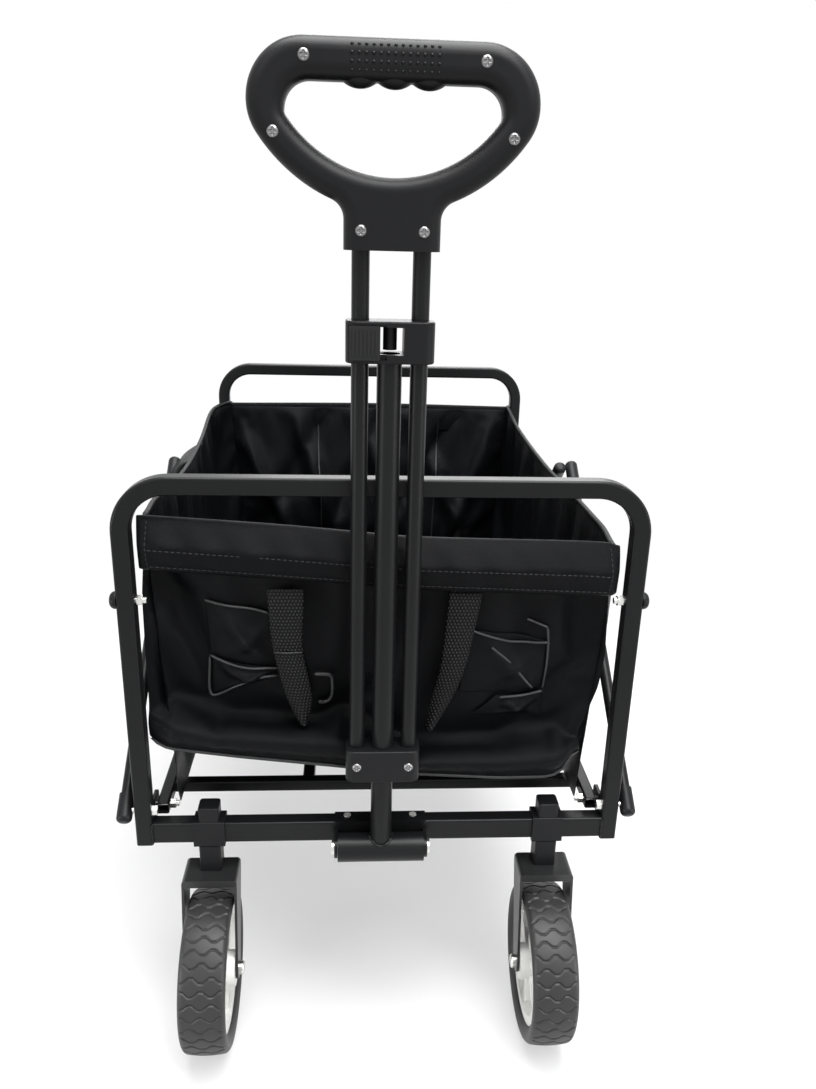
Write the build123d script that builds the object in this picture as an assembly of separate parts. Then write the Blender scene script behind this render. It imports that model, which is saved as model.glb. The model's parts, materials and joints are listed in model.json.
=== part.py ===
from build123d import *
from math import atan2, cos, degrees, hypot, radians, sin
import os

# Folding utility wagon with a telescoping pull handle.
# Millimetres, +Z up, origin on the ground under the middle of the wagon.
# The pull handle is at the front, which faces -Y, and +X is the right side seen from the front.

# End frames: bent square tube with a welded cross tube
frame_width = 470.0
frame_spacing = 663.0
frame_top = 573.0
frame_foot = 205.0
frame_tube = 16.0
frame_wall = 1.2
frame_corner = 2.5
frame_bend = 42.0
cross_height = 22.0
cross_bottom = 207.0

# Wheels and forks
wheel_diameter = 152.0
tyre_width = 44.0
tyre_shoulder = 7.0
rim_diameter = 118.0
rim_width = 34.0
rim_thickness = 9.0
rim_web = 6.0
rim_spokes = 6
spoke_width = 7.0
hub_diameter = 34.0
axle_diameter = 8.0
axle_head_diameter = 13.0
axle_head_height = 5.0
wheel_track = 330.0
wheel_trail = 31.0
fork_inside = 48.0
fork_sheet = 2.5
fork_crown_top = 176.0
fork_crown_front = 25.0
fork_crown_back = 10.0
fork_lip = 8.0
fork_foot_radius = 10.0
fork_bend = 4.0

# Caster housings: a sleeve round the cross tube with a square post below and a boss on top
sleeve_width = 30.0
sleeve_wall = 2.5
post_size = 21.0
boss_width = 20.0
boss_depth = 19.0
boss_height = 15.0
boss_edge = 3.0
swivel_pin_diameter = 10.0
swivel_pin_head_diameter = 18.0
swivel_pin_head_height = 4.0
swivel_pin_cover = 7.0

# Folding base: two half frames hinged to the end frames and to each other
base_pivot_setback = 18.0
base_pivot_height = 235.0
base_tube = 12.0
base_wall = 1.2
base_stub = 8.5
base_cross_setback = 32.0
base_hinge_setback = 34.0
base_centre_spacing = 144.0
base_lap_gap = 0.6
ear_thickness = 3.0
ear_height = 23.0
ear_reach = 10.0
ear_inset = 0.5
bolt_diameter = 6.0
bolt_head_diameter = 10.0
bolt_head_height = 4.0
nut_height = 5.0
bolt_thread_end = 3.0
washer_gap = 1.0

# Side arms: two tubes on each side that lean together at mid length
arm_tube = 12.0
arm_wall = 1.0
arm_cap_diameter = 15.0
arm_cap_length = 28.0
arm_cap_end = 3.0
arm_overhang = 12.0
arm_stand_off = 2.5
arm_pivot_height = 240.0
arm_apex_height = 495.0
front_arm_lean = 0.5
rear_arm_lean = 17.0

# Fabric bolts through the uprights
fabric_bolt_height = 459.0
tab_thickness = 1.5
tab_height = 24.0
tab_reach = 7.0
dome_diameter = 16.0
dome_height = 6.5

# Pull handle
handle_offset = 25.0
handle_pivot_height = 213.0
handle_hub_diameter = 27.0
handle_hub_length = 82.0
handle_pin_diameter = 10.0
handle_pin_head_diameter = 14.0
handle_pin_head_height = 2.5
bracket_sheet = 2.0
bracket_ear = 3.0
bracket_ear_radius = 10.0
bracket_drop = 3.0
bracket_flange_back = 6.0
rivet_spacing = 64.0
rivet_diameter = 4.0
rivet_head_diameter = 7.0
rivet_head_height = 1.0
centre_tube = 20.0
centre_wall = 1.5
rod_diameter = 14.0
rod_wall = 1.0
rod_spacing = 47.0
lower_collar_bottom = 294.0
lower_collar_height = 32.0
lower_collar_width = 67.5
lower_collar_floor = 5.0
upper_collar_bottom = 674.0
upper_collar_height = 32.5
upper_collar_width = 70.0
collar_depth = 28.0
collar_corner = 9.0
collar_edge = 1.5
collar_socket = 7.0
collar_roof = 4.5
window_width = 21.0
latch_post_diameter = 11.0
latch_post_gap = 3.0
button_width = 24.0
button_margin = 3.0
button_height = 26.0
button_travel = 5.0
button_recess = 4.0
button_proud = 3.0
button_ribs = 7
button_rib_width = 1.4
button_rib_proud = 0.8

# D grip in two halves
grip_gap = 51.5
grip_height = 143.0
grip_width = 213.0
grip_depth = 28.0
grip_round = 11.0
grip_ring = 24.8
grip_neck_width = 73.4
grip_corner_radius = 42.0
grip_side_radius = 38.0
grip_neck_radius = 15.0
grip_bar = 28.5
hole_width = 158.5
hole_rise = 51.5
hole_arc_radius = 96.5
hole_top_radius = 18.5
hole_side_radius = 8.0
finger_spacing = 25.0
finger_radius = 20.0
finger_depth = 12.5
finger_drop = 4.2
rod_insert = 24.0
screw_diameter = 4.0
screw_head_diameter = 8.0
screw_head_depth = 2.4
screw_length = 20.0
neck_screw_height = 14.0
side_screw_x = 87.0
side_screw_rise = 28.0
top_screw_x = 64.5
top_screw_drop = 14.0

# Fabric basket
wall_thickness = 3.0
wall_setback = 6.2
wall_half_margin = 5.0
basket_top_gap = 25.0
side_wall_lift = 4.7
apron_rise = 43.7
lip_height = 52.0
lip_bulge = 13.0
cuff_height = 62.0
cuff_depth = 14.0
cuff_side_margin = 11.0
side_wall_top = 515.0
side_wall_inset = 3.0
side_wall_lean = 18.0
floor_thickness = 6.0
floor_setback = 90.0

# Clearances
running_clearance = 0.05
sliding_clearance = 0.1
slip_clearance = 0.3
swivel_gap = 0.4

# Places worked out from the sizes above
front_y = -frame_spacing / 2
half_width = frame_width / 2
upright_x = half_width - frame_tube / 2
inner_x = half_width - frame_tube
cross_top = cross_bottom + cross_height
wheel_radius = wheel_diameter / 2
caster_x = wheel_track / 2
fork_half = fork_inside / 2 + fork_sheet
sleeve_bottom = cross_bottom - sleeve_wall - sliding_clearance
sleeve_top = cross_top + sleeve_wall + sliding_clearance
boss_top = sleeve_top + boss_height
base_pivot_y = front_y + base_pivot_setback
ear_inner_x = inner_x - ear_inset
front_side_x = ear_inner_x - washer_gap - base_tube / 2
rear_side_x = front_side_x - base_tube - base_lap_gap
arm_pivot_x = half_width + arm_stand_off + arm_cap_diameter / 2
handle_y = front_y - handle_offset
rod_x = rod_spacing / 2
lower_collar_top = lower_collar_bottom + lower_collar_height
upper_collar_top = upper_collar_bottom + upper_collar_height
collar_front = handle_y - collar_depth / 2
button_left = button_margin - upper_collar_width / 2
window_bottom = upper_collar_bottom + collar_socket
window_top = upper_collar_top - collar_roof
grip_front = handle_y - grip_depth / 2
grip_bottom = upper_collar_top + grip_gap
grip_top = grip_bottom + grip_height
hole_bottom = grip_bottom + hole_rise
wall_back = front_y + wall_setback + wall_thickness
side_wall_x = inner_x - side_wall_inset
floor_half = rear_side_x - base_tube / 2 - slip_clearance
floor_bottom = base_pivot_height + base_tube / 2 + slip_clearance
floor_y = base_pivot_y + floor_setback
basket_top = frame_top - frame_tube - basket_top_gap
basket_bottom = floor_bottom + floor_thickness + side_wall_lift
end_wall_bottom = floor_bottom + apron_rise

parts = {}


# Helpers
def block(x0, x1, y0, y1, z0, z1):
    size = Box(abs(x1 - x0), abs(y1 - y0), abs(z1 - z0))
    return Pos((x0 + x1) / 2, (y0 + y1) / 2, (z0 + z1) / 2) * size


def bar_x(diameter, x0, x1, y, z):
    return Pos((x0 + x1) / 2, y, z) * Rot(0, 90, 0) * Cylinder(diameter / 2, abs(x1 - x0))


def bar_y(diameter, y0, y1, x, z):
    return Pos(x, (y0 + y1) / 2, z) * Rot(90, 0, 0) * Cylinder(diameter / 2, abs(y1 - y0))


def bar_z(diameter, z0, z1, x, y):
    return Pos(x, y, (z0 + z1) / 2) * Cylinder(diameter / 2, abs(z1 - z0))


def square_tube(axis, length, width, wall):
    outer = extrude(RectangleRounded(width, width, width / 6), length)
    inner = extrude(Rectangle(width - 2 * wall, width - 2 * wall), length)
    return axis * (outer - inner)


def to_left(shape):
    return mirror(shape, about=Plane.YZ)


def to_rear(shape):
    return mirror(shape, about=Plane.XZ)


def both_sides(shape):
    return Compound([shape, to_left(shape)])


# End frames
def make_end_frame():
    rise = frame_top - frame_tube / 2
    path = FilletPolyline(
        (-upright_x, front_y, frame_foot),
        (-upright_x, front_y, rise),
        (upright_x, front_y, rise),
        (upright_x, front_y, frame_foot),
        radius=frame_bend,
    )
    start = Plane(origin=path @ 0, z_dir=path % 0)
    hollow = frame_tube - 2 * frame_wall
    tube = sweep(start * RectangleRounded(frame_tube, frame_tube, frame_corner), path=path)
    tube -= sweep(start * Rectangle(hollow, hollow), path=path)
    for height in (arm_pivot_height, fabric_bolt_height):
        tube -= bar_x(bolt_diameter, -half_width, half_width, front_y, height)
    return tube


def make_cross_tube():
    outer = block(-inner_x, inner_x, front_y - frame_tube / 2, front_y + frame_tube / 2, cross_bottom, cross_top)
    tube = fillet(outer.edges().filter_by(Axis.X), frame_corner)
    tube -= block(
        -inner_x,
        inner_x,
        front_y - frame_tube / 2 + frame_wall,
        front_y + frame_tube / 2 - frame_wall,
        cross_bottom + frame_wall,
        cross_top - frame_wall,
    )
    pin_hole = swivel_pin_diameter + 2 * slip_clearance
    for x in (-caster_x, caster_x):
        tube -= bar_z(pin_hole, cross_bottom, cross_top, x, front_y)
    return tube


def make_caster_housing():
    sleeve_half = frame_tube / 2 + sliding_clearance + sleeve_wall
    x0 = caster_x - sleeve_width / 2
    x1 = caster_x + sleeve_width / 2
    body = block(x0, x1, front_y - sleeve_half, front_y + sleeve_half, sleeve_bottom, sleeve_top)
    body = fillet(body.edges().filter_by(Axis.X), sleeve_wall / 2)
    post = block(-post_size / 2, post_size / 2, -post_size / 2, post_size / 2, fork_crown_top + swivel_gap, sleeve_bottom)
    post = fillet(post.edges().filter_by(Axis.Z), frame_corner)
    body += Pos(caster_x, front_y, 0) * post
    boss = block(-boss_width / 2, boss_width / 2, -boss_depth / 2, boss_depth / 2, sleeve_top, boss_top)
    boss = fillet(boss.edges().filter_by(Axis.Z), boss_edge)
    boss = fillet(boss.faces().sort_by(Axis.Z)[-1].edges(), boss_edge / 2)
    body += Pos(caster_x, front_y, 0) * boss
    tunnel = frame_tube / 2 + sliding_clearance
    body -= block(
        x0, x1, front_y - tunnel, front_y + tunnel, cross_bottom - sliding_clearance, cross_top + sliding_clearance
    )
    bore = swivel_pin_diameter + 2 * running_clearance
    body -= bar_z(bore, fork_crown_top, boss_top - swivel_pin_cover + swivel_gap, caster_x, front_y)
    return body


def make_pivot_ear():
    ear = block(
        ear_inner_x,
        ear_inner_x + ear_thickness,
        front_y + frame_tube / 2,
        base_pivot_y + ear_reach,
        base_pivot_height - ear_height / 2,
        base_pivot_height + ear_height / 2,
    )
    ear = fillet(ear.edges().filter_by(Axis.X).group_by(Axis.Y)[-1], ear_reach / 2)
    return ear - bar_x(bolt_diameter, 0, half_width, base_pivot_y, base_pivot_height)


def hex_nut(x0, x1, y, z):
    return Pos(x0, y, z) * Rot(0, 90, 0) * extrude(RegularPolygon(bolt_head_diameter / 2, 6), x1 - x0)


def make_base_bolt(side_x, spacer):
    tube_inner = side_x - base_tube / 2
    nut_inner = tube_inner - base_lap_gap - nut_height
    shank_end = ear_inner_x + ear_thickness
    bolt = bar_x(bolt_diameter, nut_inner - bolt_thread_end, shank_end, base_pivot_y, base_pivot_height)
    bolt += bar_x(bolt_head_diameter, shank_end, shank_end + bolt_head_height, base_pivot_y, base_pivot_height)
    bolt += hex_nut(nut_inner, nut_inner + nut_height, base_pivot_y, base_pivot_height)
    if spacer:
        tube_outer = side_x + base_tube / 2 + base_lap_gap
        bolt += bar_x(bolt_head_diameter, tube_outer, ear_inner_x, base_pivot_y, base_pivot_height)
    return bolt


def make_arm_bolt():
    bolt = bar_x(bolt_diameter, inner_x, arm_pivot_x + arm_tube / 2, front_y, arm_pivot_height)
    return bolt + hex_nut(inner_x - nut_height, inner_x, front_y, arm_pivot_height)


def make_fabric_bolt():
    nut_outer = inner_x - tab_thickness
    nut_inner = nut_outer - nut_height
    bolt = bar_x(bolt_diameter, nut_inner - bolt_thread_end, half_width, front_y, fabric_bolt_height)
    return bolt + hex_nut(nut_inner, nut_outer, front_y, fabric_bolt_height)


def make_dome():
    dome = bar_x(dome_diameter, half_width, half_width + dome_height, front_y, fabric_bolt_height)
    return fillet(dome.edges().group_by(Axis.X)[-1], dome_height * 0.75)


def make_frame_bolts(side_x, spacer):
    bolts = [make_base_bolt(side_x, spacer), make_arm_bolt(), make_fabric_bolt()]
    return Compound(bolts + [to_left(bolt) for bolt in bolts])


# Wheels, forks and swivel pins
def make_tyre():
    tread = Rot(0, 90, 0) * Cylinder(wheel_radius, tyre_width)
    tread = fillet(tread.edges(), tyre_shoulder)
    return tread - Rot(0, 90, 0) * Cylinder(rim_diameter / 2, tyre_width)


def make_rim():
    inner_diameter = rim_diameter - 2 * rim_thickness
    rim = bar_x(rim_diameter, -rim_width / 2, rim_width / 2, 0, 0)
    rim -= bar_x(inner_diameter, -rim_width / 2, rim_width / 2, 0, 0)
    rim += bar_x(inner_diameter, -rim_web / 2, rim_web / 2, 0, 0)
    hub_half = fork_inside / 2 - base_lap_gap
    rim += bar_x(hub_diameter, -hub_half, hub_half, 0, 0)
    spoke_half = rim_width / 2 - rim_web / 2
    spoke = block(-spoke_half, spoke_half, -spoke_width / 2, spoke_width / 2, 0, inner_diameter / 2)
    for index in range(rim_spokes):
        rim += Rot(index * 360 / rim_spokes, 0, 0) * spoke
    bore = axle_diameter + 2 * running_clearance
    return rim - bar_x(bore, -hub_half, hub_half, 0, 0)


def make_fork():
    back_y = front_y + fork_crown_back
    crown_y = front_y - fork_crown_front
    axle_y = front_y - wheel_trail
    outer = block(-fork_half, fork_half, crown_y, back_y, fork_crown_top - fork_lip, fork_crown_top)
    outer = fillet(outer.edges().filter_by(Axis.Y).group_by(Axis.Z)[-1], fork_bend)
    hollow_top = fork_crown_top - fork_sheet
    hollow_half = fork_inside / 2
    crown = outer - block(
        -hollow_half, hollow_half, crown_y + fork_sheet, back_y, fork_crown_top - fork_lip, hollow_top
    )
    foot = Pos(axle_y, wheel_radius) * Circle(fork_foot_radius)
    shoulder_z = fork_crown_top - fork_lip
    shoulder = Pos((crown_y + back_y) / 2, shoulder_z) * Rectangle(back_y - crown_y, fork_sheet)
    outline = make_hull([*foot.edges(), *shoulder.edges()])
    cut_above = block(hollow_half - fork_sheet, fork_half + fork_sheet, crown_y, back_y, shoulder_z, fork_crown_top)
    leg = Plane(origin=(hollow_half, 0, 0), x_dir=(0, 1, 0), z_dir=(1, 0, 0)) * extrude(outline, fork_sheet)
    leg -= cut_above
    fork = crown + leg + to_left(leg)
    fork -= bar_x(axle_diameter, -fork_half, fork_half, axle_y, wheel_radius)
    fork -= bar_z(swivel_pin_diameter, hollow_top, fork_crown_top, 0, front_y)
    return Pos(caster_x, 0, 0) * fork


def make_swivel_pin():
    hollow_top = fork_crown_top - fork_sheet
    pin = bar_z(swivel_pin_diameter, hollow_top, boss_top - swivel_pin_cover, caster_x, front_y)
    head_bottom = hollow_top - swivel_pin_head_height
    return pin + bar_z(swivel_pin_head_diameter, head_bottom, hollow_top, caster_x, front_y)


def make_axle():
    axle_y = front_y - wheel_trail
    axle = bar_x(axle_diameter, caster_x - fork_half, caster_x + fork_half, axle_y, wheel_radius)
    for end in (-1, 1):
        near = caster_x + end * fork_half
        head = bar_x(axle_head_diameter, near, near + end * axle_head_height, axle_y, wheel_radius)
        axle += fillet(head.edges().group_by(Axis.X)[-1 if end > 0 else 0], axle_head_height / 3)
    return axle


def place_wheel(shape):
    return Pos(caster_x, front_y - wheel_trail, wheel_radius) * shape


# Folding base, modelled as the front half with its side tubes at side_x
def make_side_tube(side_x):
    start = Plane(
        origin=(side_x, base_pivot_y - base_stub, base_pivot_height), x_dir=(1, 0, 0), z_dir=(0, 1, 0)
    )
    tube = square_tube(start, -base_pivot_y + 2 * base_stub, base_tube, base_wall)
    hole = bolt_diameter + 2 * running_clearance
    for y in (base_pivot_y, 0):
        tube -= bar_x(hole, side_x - base_tube, side_x + base_tube, y, base_pivot_height)
    return tube


def make_cross_members(side_x):
    half_length = side_x - base_tube / 2
    members = []
    front_cross_y = base_pivot_y + base_cross_setback
    hinge_cross_y = -base_hinge_setback
    for y in (front_cross_y, hinge_cross_y):
        start = Plane(origin=(-half_length, y, base_pivot_height), x_dir=(0, 1, 0), z_dir=(1, 0, 0))
        members.append(square_tube(start, 2 * half_length, base_tube, base_wall))
    run = hinge_cross_y - front_cross_y - base_tube
    for side in (-1, 1):
        start = Plane(
            origin=(side * base_centre_spacing / 2, front_cross_y + base_tube / 2, base_pivot_height),
            x_dir=(1, 0, 0),
            z_dir=(0, 1, 0),
        )
        members.append(square_tube(start, run, base_tube, base_wall))
    return Compound(members)


def make_hinge_bolt():
    head_x = front_side_x + base_tube / 2
    nut_x = rear_side_x - base_tube / 2 - base_lap_gap - nut_height
    bolt = bar_x(bolt_diameter, nut_x, head_x, 0, base_pivot_height)
    bolt += bar_x(bolt_head_diameter, head_x, head_x + bolt_head_height, 0, base_pivot_height)
    return bolt + hex_nut(nut_x, nut_x + nut_height, 0, base_pivot_height)


def make_floor_pad():
    pad = block(-floor_half, floor_half, floor_y, -slip_clearance, floor_bottom, floor_bottom + floor_thickness)
    return fillet(pad.edges().filter_by(Axis.Z), floor_thickness)


# Side arms, modelled on the right side for the front end
def make_arm(lean):
    low = Vector(arm_pivot_x, front_y, arm_pivot_height)
    high = Vector(arm_pivot_x - lean, 0, arm_apex_height)
    run = high - low
    along = run.normalized()
    length = run.length
    tube_start = Plane(origin=low - along * (arm_overhang - arm_cap_end), x_dir=(1, 0, 0), z_dir=along)
    tube_length = length + 2 * (arm_overhang - arm_cap_end)
    tube = tube_start * extrude(Circle(arm_tube / 2) - Circle(arm_tube / 2 - arm_wall), tube_length)
    cap = extrude(Circle(arm_cap_diameter / 2), arm_cap_length)
    cap = fillet(cap.edges().group_by(Axis.Z)[0], arm_cap_diameter / 3)
    cap -= Pos(0, 0, arm_cap_end) * extrude(Circle(arm_tube / 2), arm_cap_length)
    low_cap = Plane(origin=low - along * arm_overhang, x_dir=(1, 0, 0), z_dir=along) * cap
    high_cap = Plane(origin=high + along * arm_overhang, x_dir=(1, 0, 0), z_dir=along * -1) * cap
    hole = bar_x(
        bolt_diameter + 2 * running_clearance,
        half_width,
        arm_pivot_x + arm_tube / 2 + running_clearance,
        front_y,
        arm_pivot_height,
    )
    return tube - hole, Compound([low_cap - hole, high_cap])


# Pull handle
def make_handle_bracket():
    ear_inner = handle_hub_length / 2 + slip_clearance
    ear_outer = ear_inner + bracket_ear
    face_y = front_y - frame_tube / 2
    plate_y = face_y - bracket_sheet
    bracket = block(-ear_outer, ear_outer, plate_y, face_y, cross_bottom - bracket_drop, cross_top + bracket_sheet)
    bracket += block(
        -ear_outer, ear_outer, face_y, front_y + bracket_flange_back, cross_top, cross_top + bracket_sheet
    )
    knuckle = Pos(handle_y, handle_pivot_height) * Circle(bracket_ear_radius)
    root = Pos(plate_y + bracket_sheet / 2, handle_pivot_height) * Rectangle(bracket_sheet, 2 * bracket_ear_radius)
    outline = make_hull([*knuckle.edges(), *root.edges()])
    ear = Plane(origin=(ear_inner, 0, 0), x_dir=(0, 1, 0), z_dir=(1, 0, 0)) * extrude(outline, bracket_ear)
    bracket += ear + to_left(ear)
    bracket -= bar_x(handle_pin_diameter, -ear_outer, ear_outer, handle_y, handle_pivot_height)
    for x in (-rivet_spacing / 2, rivet_spacing / 2):
        bracket -= bar_z(rivet_diameter, cross_top, cross_top + bracket_sheet, x, front_y)
    return bracket


def make_rivet(x):
    top = cross_top + bracket_sheet
    rivet = bar_z(rivet_diameter, cross_top, top, x, front_y)
    rivet += bar_z(rivet_head_diameter, top, top + rivet_head_height, x, front_y)
    return rivet - bar_z(rivet_diameter / 2, top, top + rivet_head_height, x, front_y)


def make_handle_pin():
    ear_outer = handle_hub_length / 2 + slip_clearance + bracket_ear
    pin = bar_x(handle_pin_diameter, -ear_outer, ear_outer, handle_y, handle_pivot_height)
    for end in (-1, 1):
        far = end * (ear_outer + handle_pin_head_height)
        pin += bar_x(handle_pin_head_diameter, end * ear_outer, far, handle_y, handle_pivot_height)
    return pin


def make_handle_post():
    hub_half = handle_hub_length / 2
    tube = bar_z(centre_tube, handle_pivot_height, window_bottom, 0, handle_y)
    tube -= bar_z(centre_tube - 2 * centre_wall, handle_pivot_height, window_bottom, 0, handle_y)
    hub = bar_x(handle_hub_diameter, -hub_half, hub_half, handle_y, handle_pivot_height)
    post = tube - hub
    post += hub
    bore = handle_pin_diameter + 2 * running_clearance
    return post - bar_x(bore, -hub_half, hub_half, handle_y, handle_pivot_height)


def make_collar(width, bottom, height):
    collar = extrude(RectangleRounded(width, collar_depth, collar_corner), height)
    ends = collar.edges().group_by(Axis.Z)
    collar = fillet(ends[0] + ends[-1], collar_edge)
    return Pos(0, handle_y, bottom) * collar


def make_upper_collar():
    collar = make_collar(upper_collar_width, upper_collar_bottom, upper_collar_height)
    window = block(
        -window_width / 2, window_width / 2, collar_front, collar_front + collar_depth, window_bottom, window_top
    )
    collar -= window
    collar += bar_z(latch_post_diameter, window_bottom + latch_post_gap, upper_collar_top - collar_edge, 0, handle_y)
    socket = centre_tube + 2 * running_clearance
    collar -= bar_z(socket, upper_collar_bottom, window_bottom, 0, handle_y)
    guide = rod_diameter + 2 * running_clearance
    for x in (-rod_x, rod_x):
        collar -= bar_z(guide, upper_collar_bottom, upper_collar_top, x, handle_y)
    recess_z = (upper_collar_bottom + upper_collar_top) / 2
    return collar - block(
        button_left - slip_clearance,
        button_left + button_width + button_travel + slip_clearance,
        collar_front,
        collar_front + button_recess,
        recess_z - button_height / 2 - slip_clearance,
        recess_z + button_height / 2 + slip_clearance,
    )


def make_lock_button():
    middle = (upper_collar_bottom + upper_collar_top) / 2
    front = collar_front - button_proud
    button = block(
        button_left,
        button_left + button_width,
        front,
        collar_front + button_recess - slip_clearance,
        middle - button_height / 2,
        middle + button_height / 2,
    )
    button = fillet(button.edges().filter_by(Axis.Y), button_proud / 2)
    pitch = button_width / (button_ribs + 1)
    for index in range(button_ribs):
        x = button_left + pitch * (index + 1)
        button += block(
            x - button_rib_width / 2,
            x + button_rib_width / 2,
            front - button_rib_proud,
            front,
            middle - button_height / 2 + button_proud,
            middle + button_height / 2 - button_proud,
        )
    return button


def make_lower_collar():
    collar = make_collar(lower_collar_width, lower_collar_bottom, lower_collar_height)
    slide = centre_tube + 2 * sliding_clearance
    collar -= bar_z(slide, lower_collar_bottom, lower_collar_top, 0, handle_y)
    socket = rod_diameter + 2 * running_clearance
    for x in (-rod_x, rod_x):
        collar -= bar_z(socket, lower_collar_bottom + lower_collar_floor, lower_collar_top, x, handle_y)
    return drill_screws(collar, collar_screws())


def make_rods():
    rods = []
    for x in (-rod_x, rod_x):
        bottom = lower_collar_bottom + lower_collar_floor
        top = grip_bottom + rod_insert
        rod = bar_z(rod_diameter, bottom, top, x, handle_y)
        rod -= bar_z(rod_diameter - 2 * rod_wall, bottom, top, x, handle_y)
        rods.append(drill_screws(rod, collar_screws() + grip_screws()))
    return Compound(rods)


# Screws, each given by its place on the front face that it enters
def grip_screws():
    places = [
        (rod_x, grip_bottom + neck_screw_height),
        (side_screw_x, hole_bottom + side_screw_rise),
        (top_screw_x, grip_top - top_screw_drop),
    ]
    return [(side * x, grip_front, z) for x, z in places for side in (-1, 1)]


def collar_screws():
    middle = (lower_collar_bottom + lower_collar_top) / 2
    return [(side * rod_x, collar_front, middle) for side in (-1, 1)]


def drill_screws(shape, places):
    for x, face, z in places:
        shape -= bar_y(screw_head_diameter, face - screw_head_depth, face + screw_head_depth, x, z)
        shape -= bar_y(screw_diameter, face, face + screw_length, x, z)
    return shape


def make_screw(x, face, z):
    screw = bar_y(screw_head_diameter, face, face + screw_head_depth, x, z)
    screw = fillet(screw.edges().group_by(Axis.Y)[0], screw_head_depth / 3)
    return screw + bar_y(screw_diameter, face + screw_head_depth, face + screw_length, x, z)


# D grip: a bowl and a neck with a hand hole inside the bowl, split at mid depth
def bowl_outline(radius, half, top, top_radius, side_radius):
    centre = hole_bottom + hole_arc_radius
    bowl = Pos(0, centre) * Circle(radius)
    bowl = bowl & Pos(0, top - radius) * Rectangle(2 * half, 2 * radius)
    bowl = fillet(pick(bowl, half, top), top_radius)
    return fillet(pick(bowl, half, centre - (radius**2 - half**2) ** 0.5), side_radius)


def grip_outline():
    neck = grip_neck_width / 2
    radius = hole_arc_radius + grip_ring
    outline = bowl_outline(radius, grip_width / 2, grip_top, grip_corner_radius, grip_side_radius)
    outline += Pos(0, (grip_bottom + hole_bottom) / 2) * Rectangle(2 * neck, hole_bottom - grip_bottom)
    meeting = hole_bottom + hole_arc_radius - (radius**2 - neck**2) ** 0.5
    return fillet(pick(outline, neck, meeting), grip_neck_radius)


def hole_outline():
    return bowl_outline(hole_arc_radius, hole_width / 2, grip_top - grip_bar, hole_top_radius, hole_side_radius)


def pick(outline, x, z):
    near = 0.001
    return [
        corner
        for corner in outline.vertices()
        if abs(abs(corner.X) - x) < near and abs(corner.Y - z) < near
    ]


def make_grip_half(front):
    depth = grip_depth / 2
    half = extrude(grip_outline() - hole_outline(), depth)
    rim = half.faces().sort_by(Axis.Z)[-1].edges().sort_by(Axis.Y)
    half = fillet(rim[1:], grip_round)
    finger = scale(Sphere(finger_radius), (1, 1, finger_depth / finger_radius))
    for index in (-1, 0, 1):
        centre_z = grip_top - grip_bar - finger_drop + finger_radius
        ridge = Pos(index * finger_spacing, centre_z, 0) * finger
        half += ridge & block(-grip_width / 2, grip_width / 2, grip_bottom, grip_top - grip_bar / 2, 0, depth)
    half = Plane(origin=(0, handle_y, 0), x_dir=(1, 0, 0), z_dir=(0, -1, 0)) * half
    if not front:
        half = Pos(0, 2 * handle_y, 0) * mirror(half, about=Plane.XZ)
    bore = rod_diameter + 2 * running_clearance
    for x in (-rod_x, rod_x):
        half -= bar_z(bore, grip_bottom, grip_bottom + rod_insert + running_clearance, x, handle_y)
    return drill_screws(half, grip_screws())


# Fabric basket: the foot of each end wall bulges outwards in a soft lip
def make_lip(half):
    face_y = wall_back - wall_thickness
    middle = end_wall_bottom + lip_height / 2
    bulge = ThreePointArc((face_y, end_wall_bottom), (face_y - lip_bulge, middle), (face_y, end_wall_bottom + lip_height))
    outline = make_face([bulge.edge(), Line(bulge @ 1, bulge @ 0).edge()])
    return Plane(origin=(-half, 0, 0), x_dir=(0, 1, 0), z_dir=(1, 0, 0)) * extrude(outline, 2 * half)


def make_end_wall():
    half = inner_x - wall_half_margin
    wall = block(-half, half, wall_back - wall_thickness, wall_back, end_wall_bottom, basket_top)
    cuff_half = inner_x - cuff_side_margin
    cuff = block(-cuff_half, cuff_half, wall_back - cuff_depth, wall_back, basket_top - cuff_height, basket_top)
    wall += fillet(cuff.edges().filter_by(Axis.X).group_by(Axis.Y)[0], cuff_depth / 3)
    wall += make_lip(half)
    tab_bottom = fabric_bolt_height - tab_height / 2
    tab_top = fabric_bolt_height + tab_height / 2
    tab = block(inner_x - tab_thickness, inner_x, front_y - tab_reach, wall_back, tab_bottom, tab_top)
    tab += block(half - tab_thickness, inner_x, wall_back - wall_thickness, wall_back, tab_bottom, tab_top)
    tab -= bar_x(bolt_diameter, half, inner_x, front_y, fabric_bolt_height)
    return wall + tab + to_left(tab)


# The side wall leans in towards the floor
def make_side_wall():
    end = wall_back + slip_clearance
    foot = side_wall_x - side_wall_lean
    outline = make_face(
        Polyline(
            (foot - wall_thickness, basket_bottom),
            (foot, basket_bottom),
            (side_wall_x, side_wall_top),
            (side_wall_x - wall_thickness, side_wall_top),
            close=True,
        ).edges()
    )
    return Plane(origin=(0, end, 0), x_dir=(1, 0, 0), z_dir=(0, -1, 0)) * extrude(outline, 2 * end)


# The apron slopes from the end wall's foot down to the floor pad
def make_apron():
    y0 = wall_back + slip_clearance
    y1 = floor_y - slip_clearance
    outline = make_face(
        Polyline(
            (y0, end_wall_bottom),
            (y1, floor_bottom),
            (y1, floor_bottom + wall_thickness),
            (y0, end_wall_bottom + wall_thickness),
            close=True,
        ).edges()
    )
    sheet = extrude(outline, 2 * floor_half)
    return Plane(origin=(-floor_half, 0, 0), x_dir=(0, 1, 0), z_dir=(1, 0, 0)) * sheet


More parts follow.
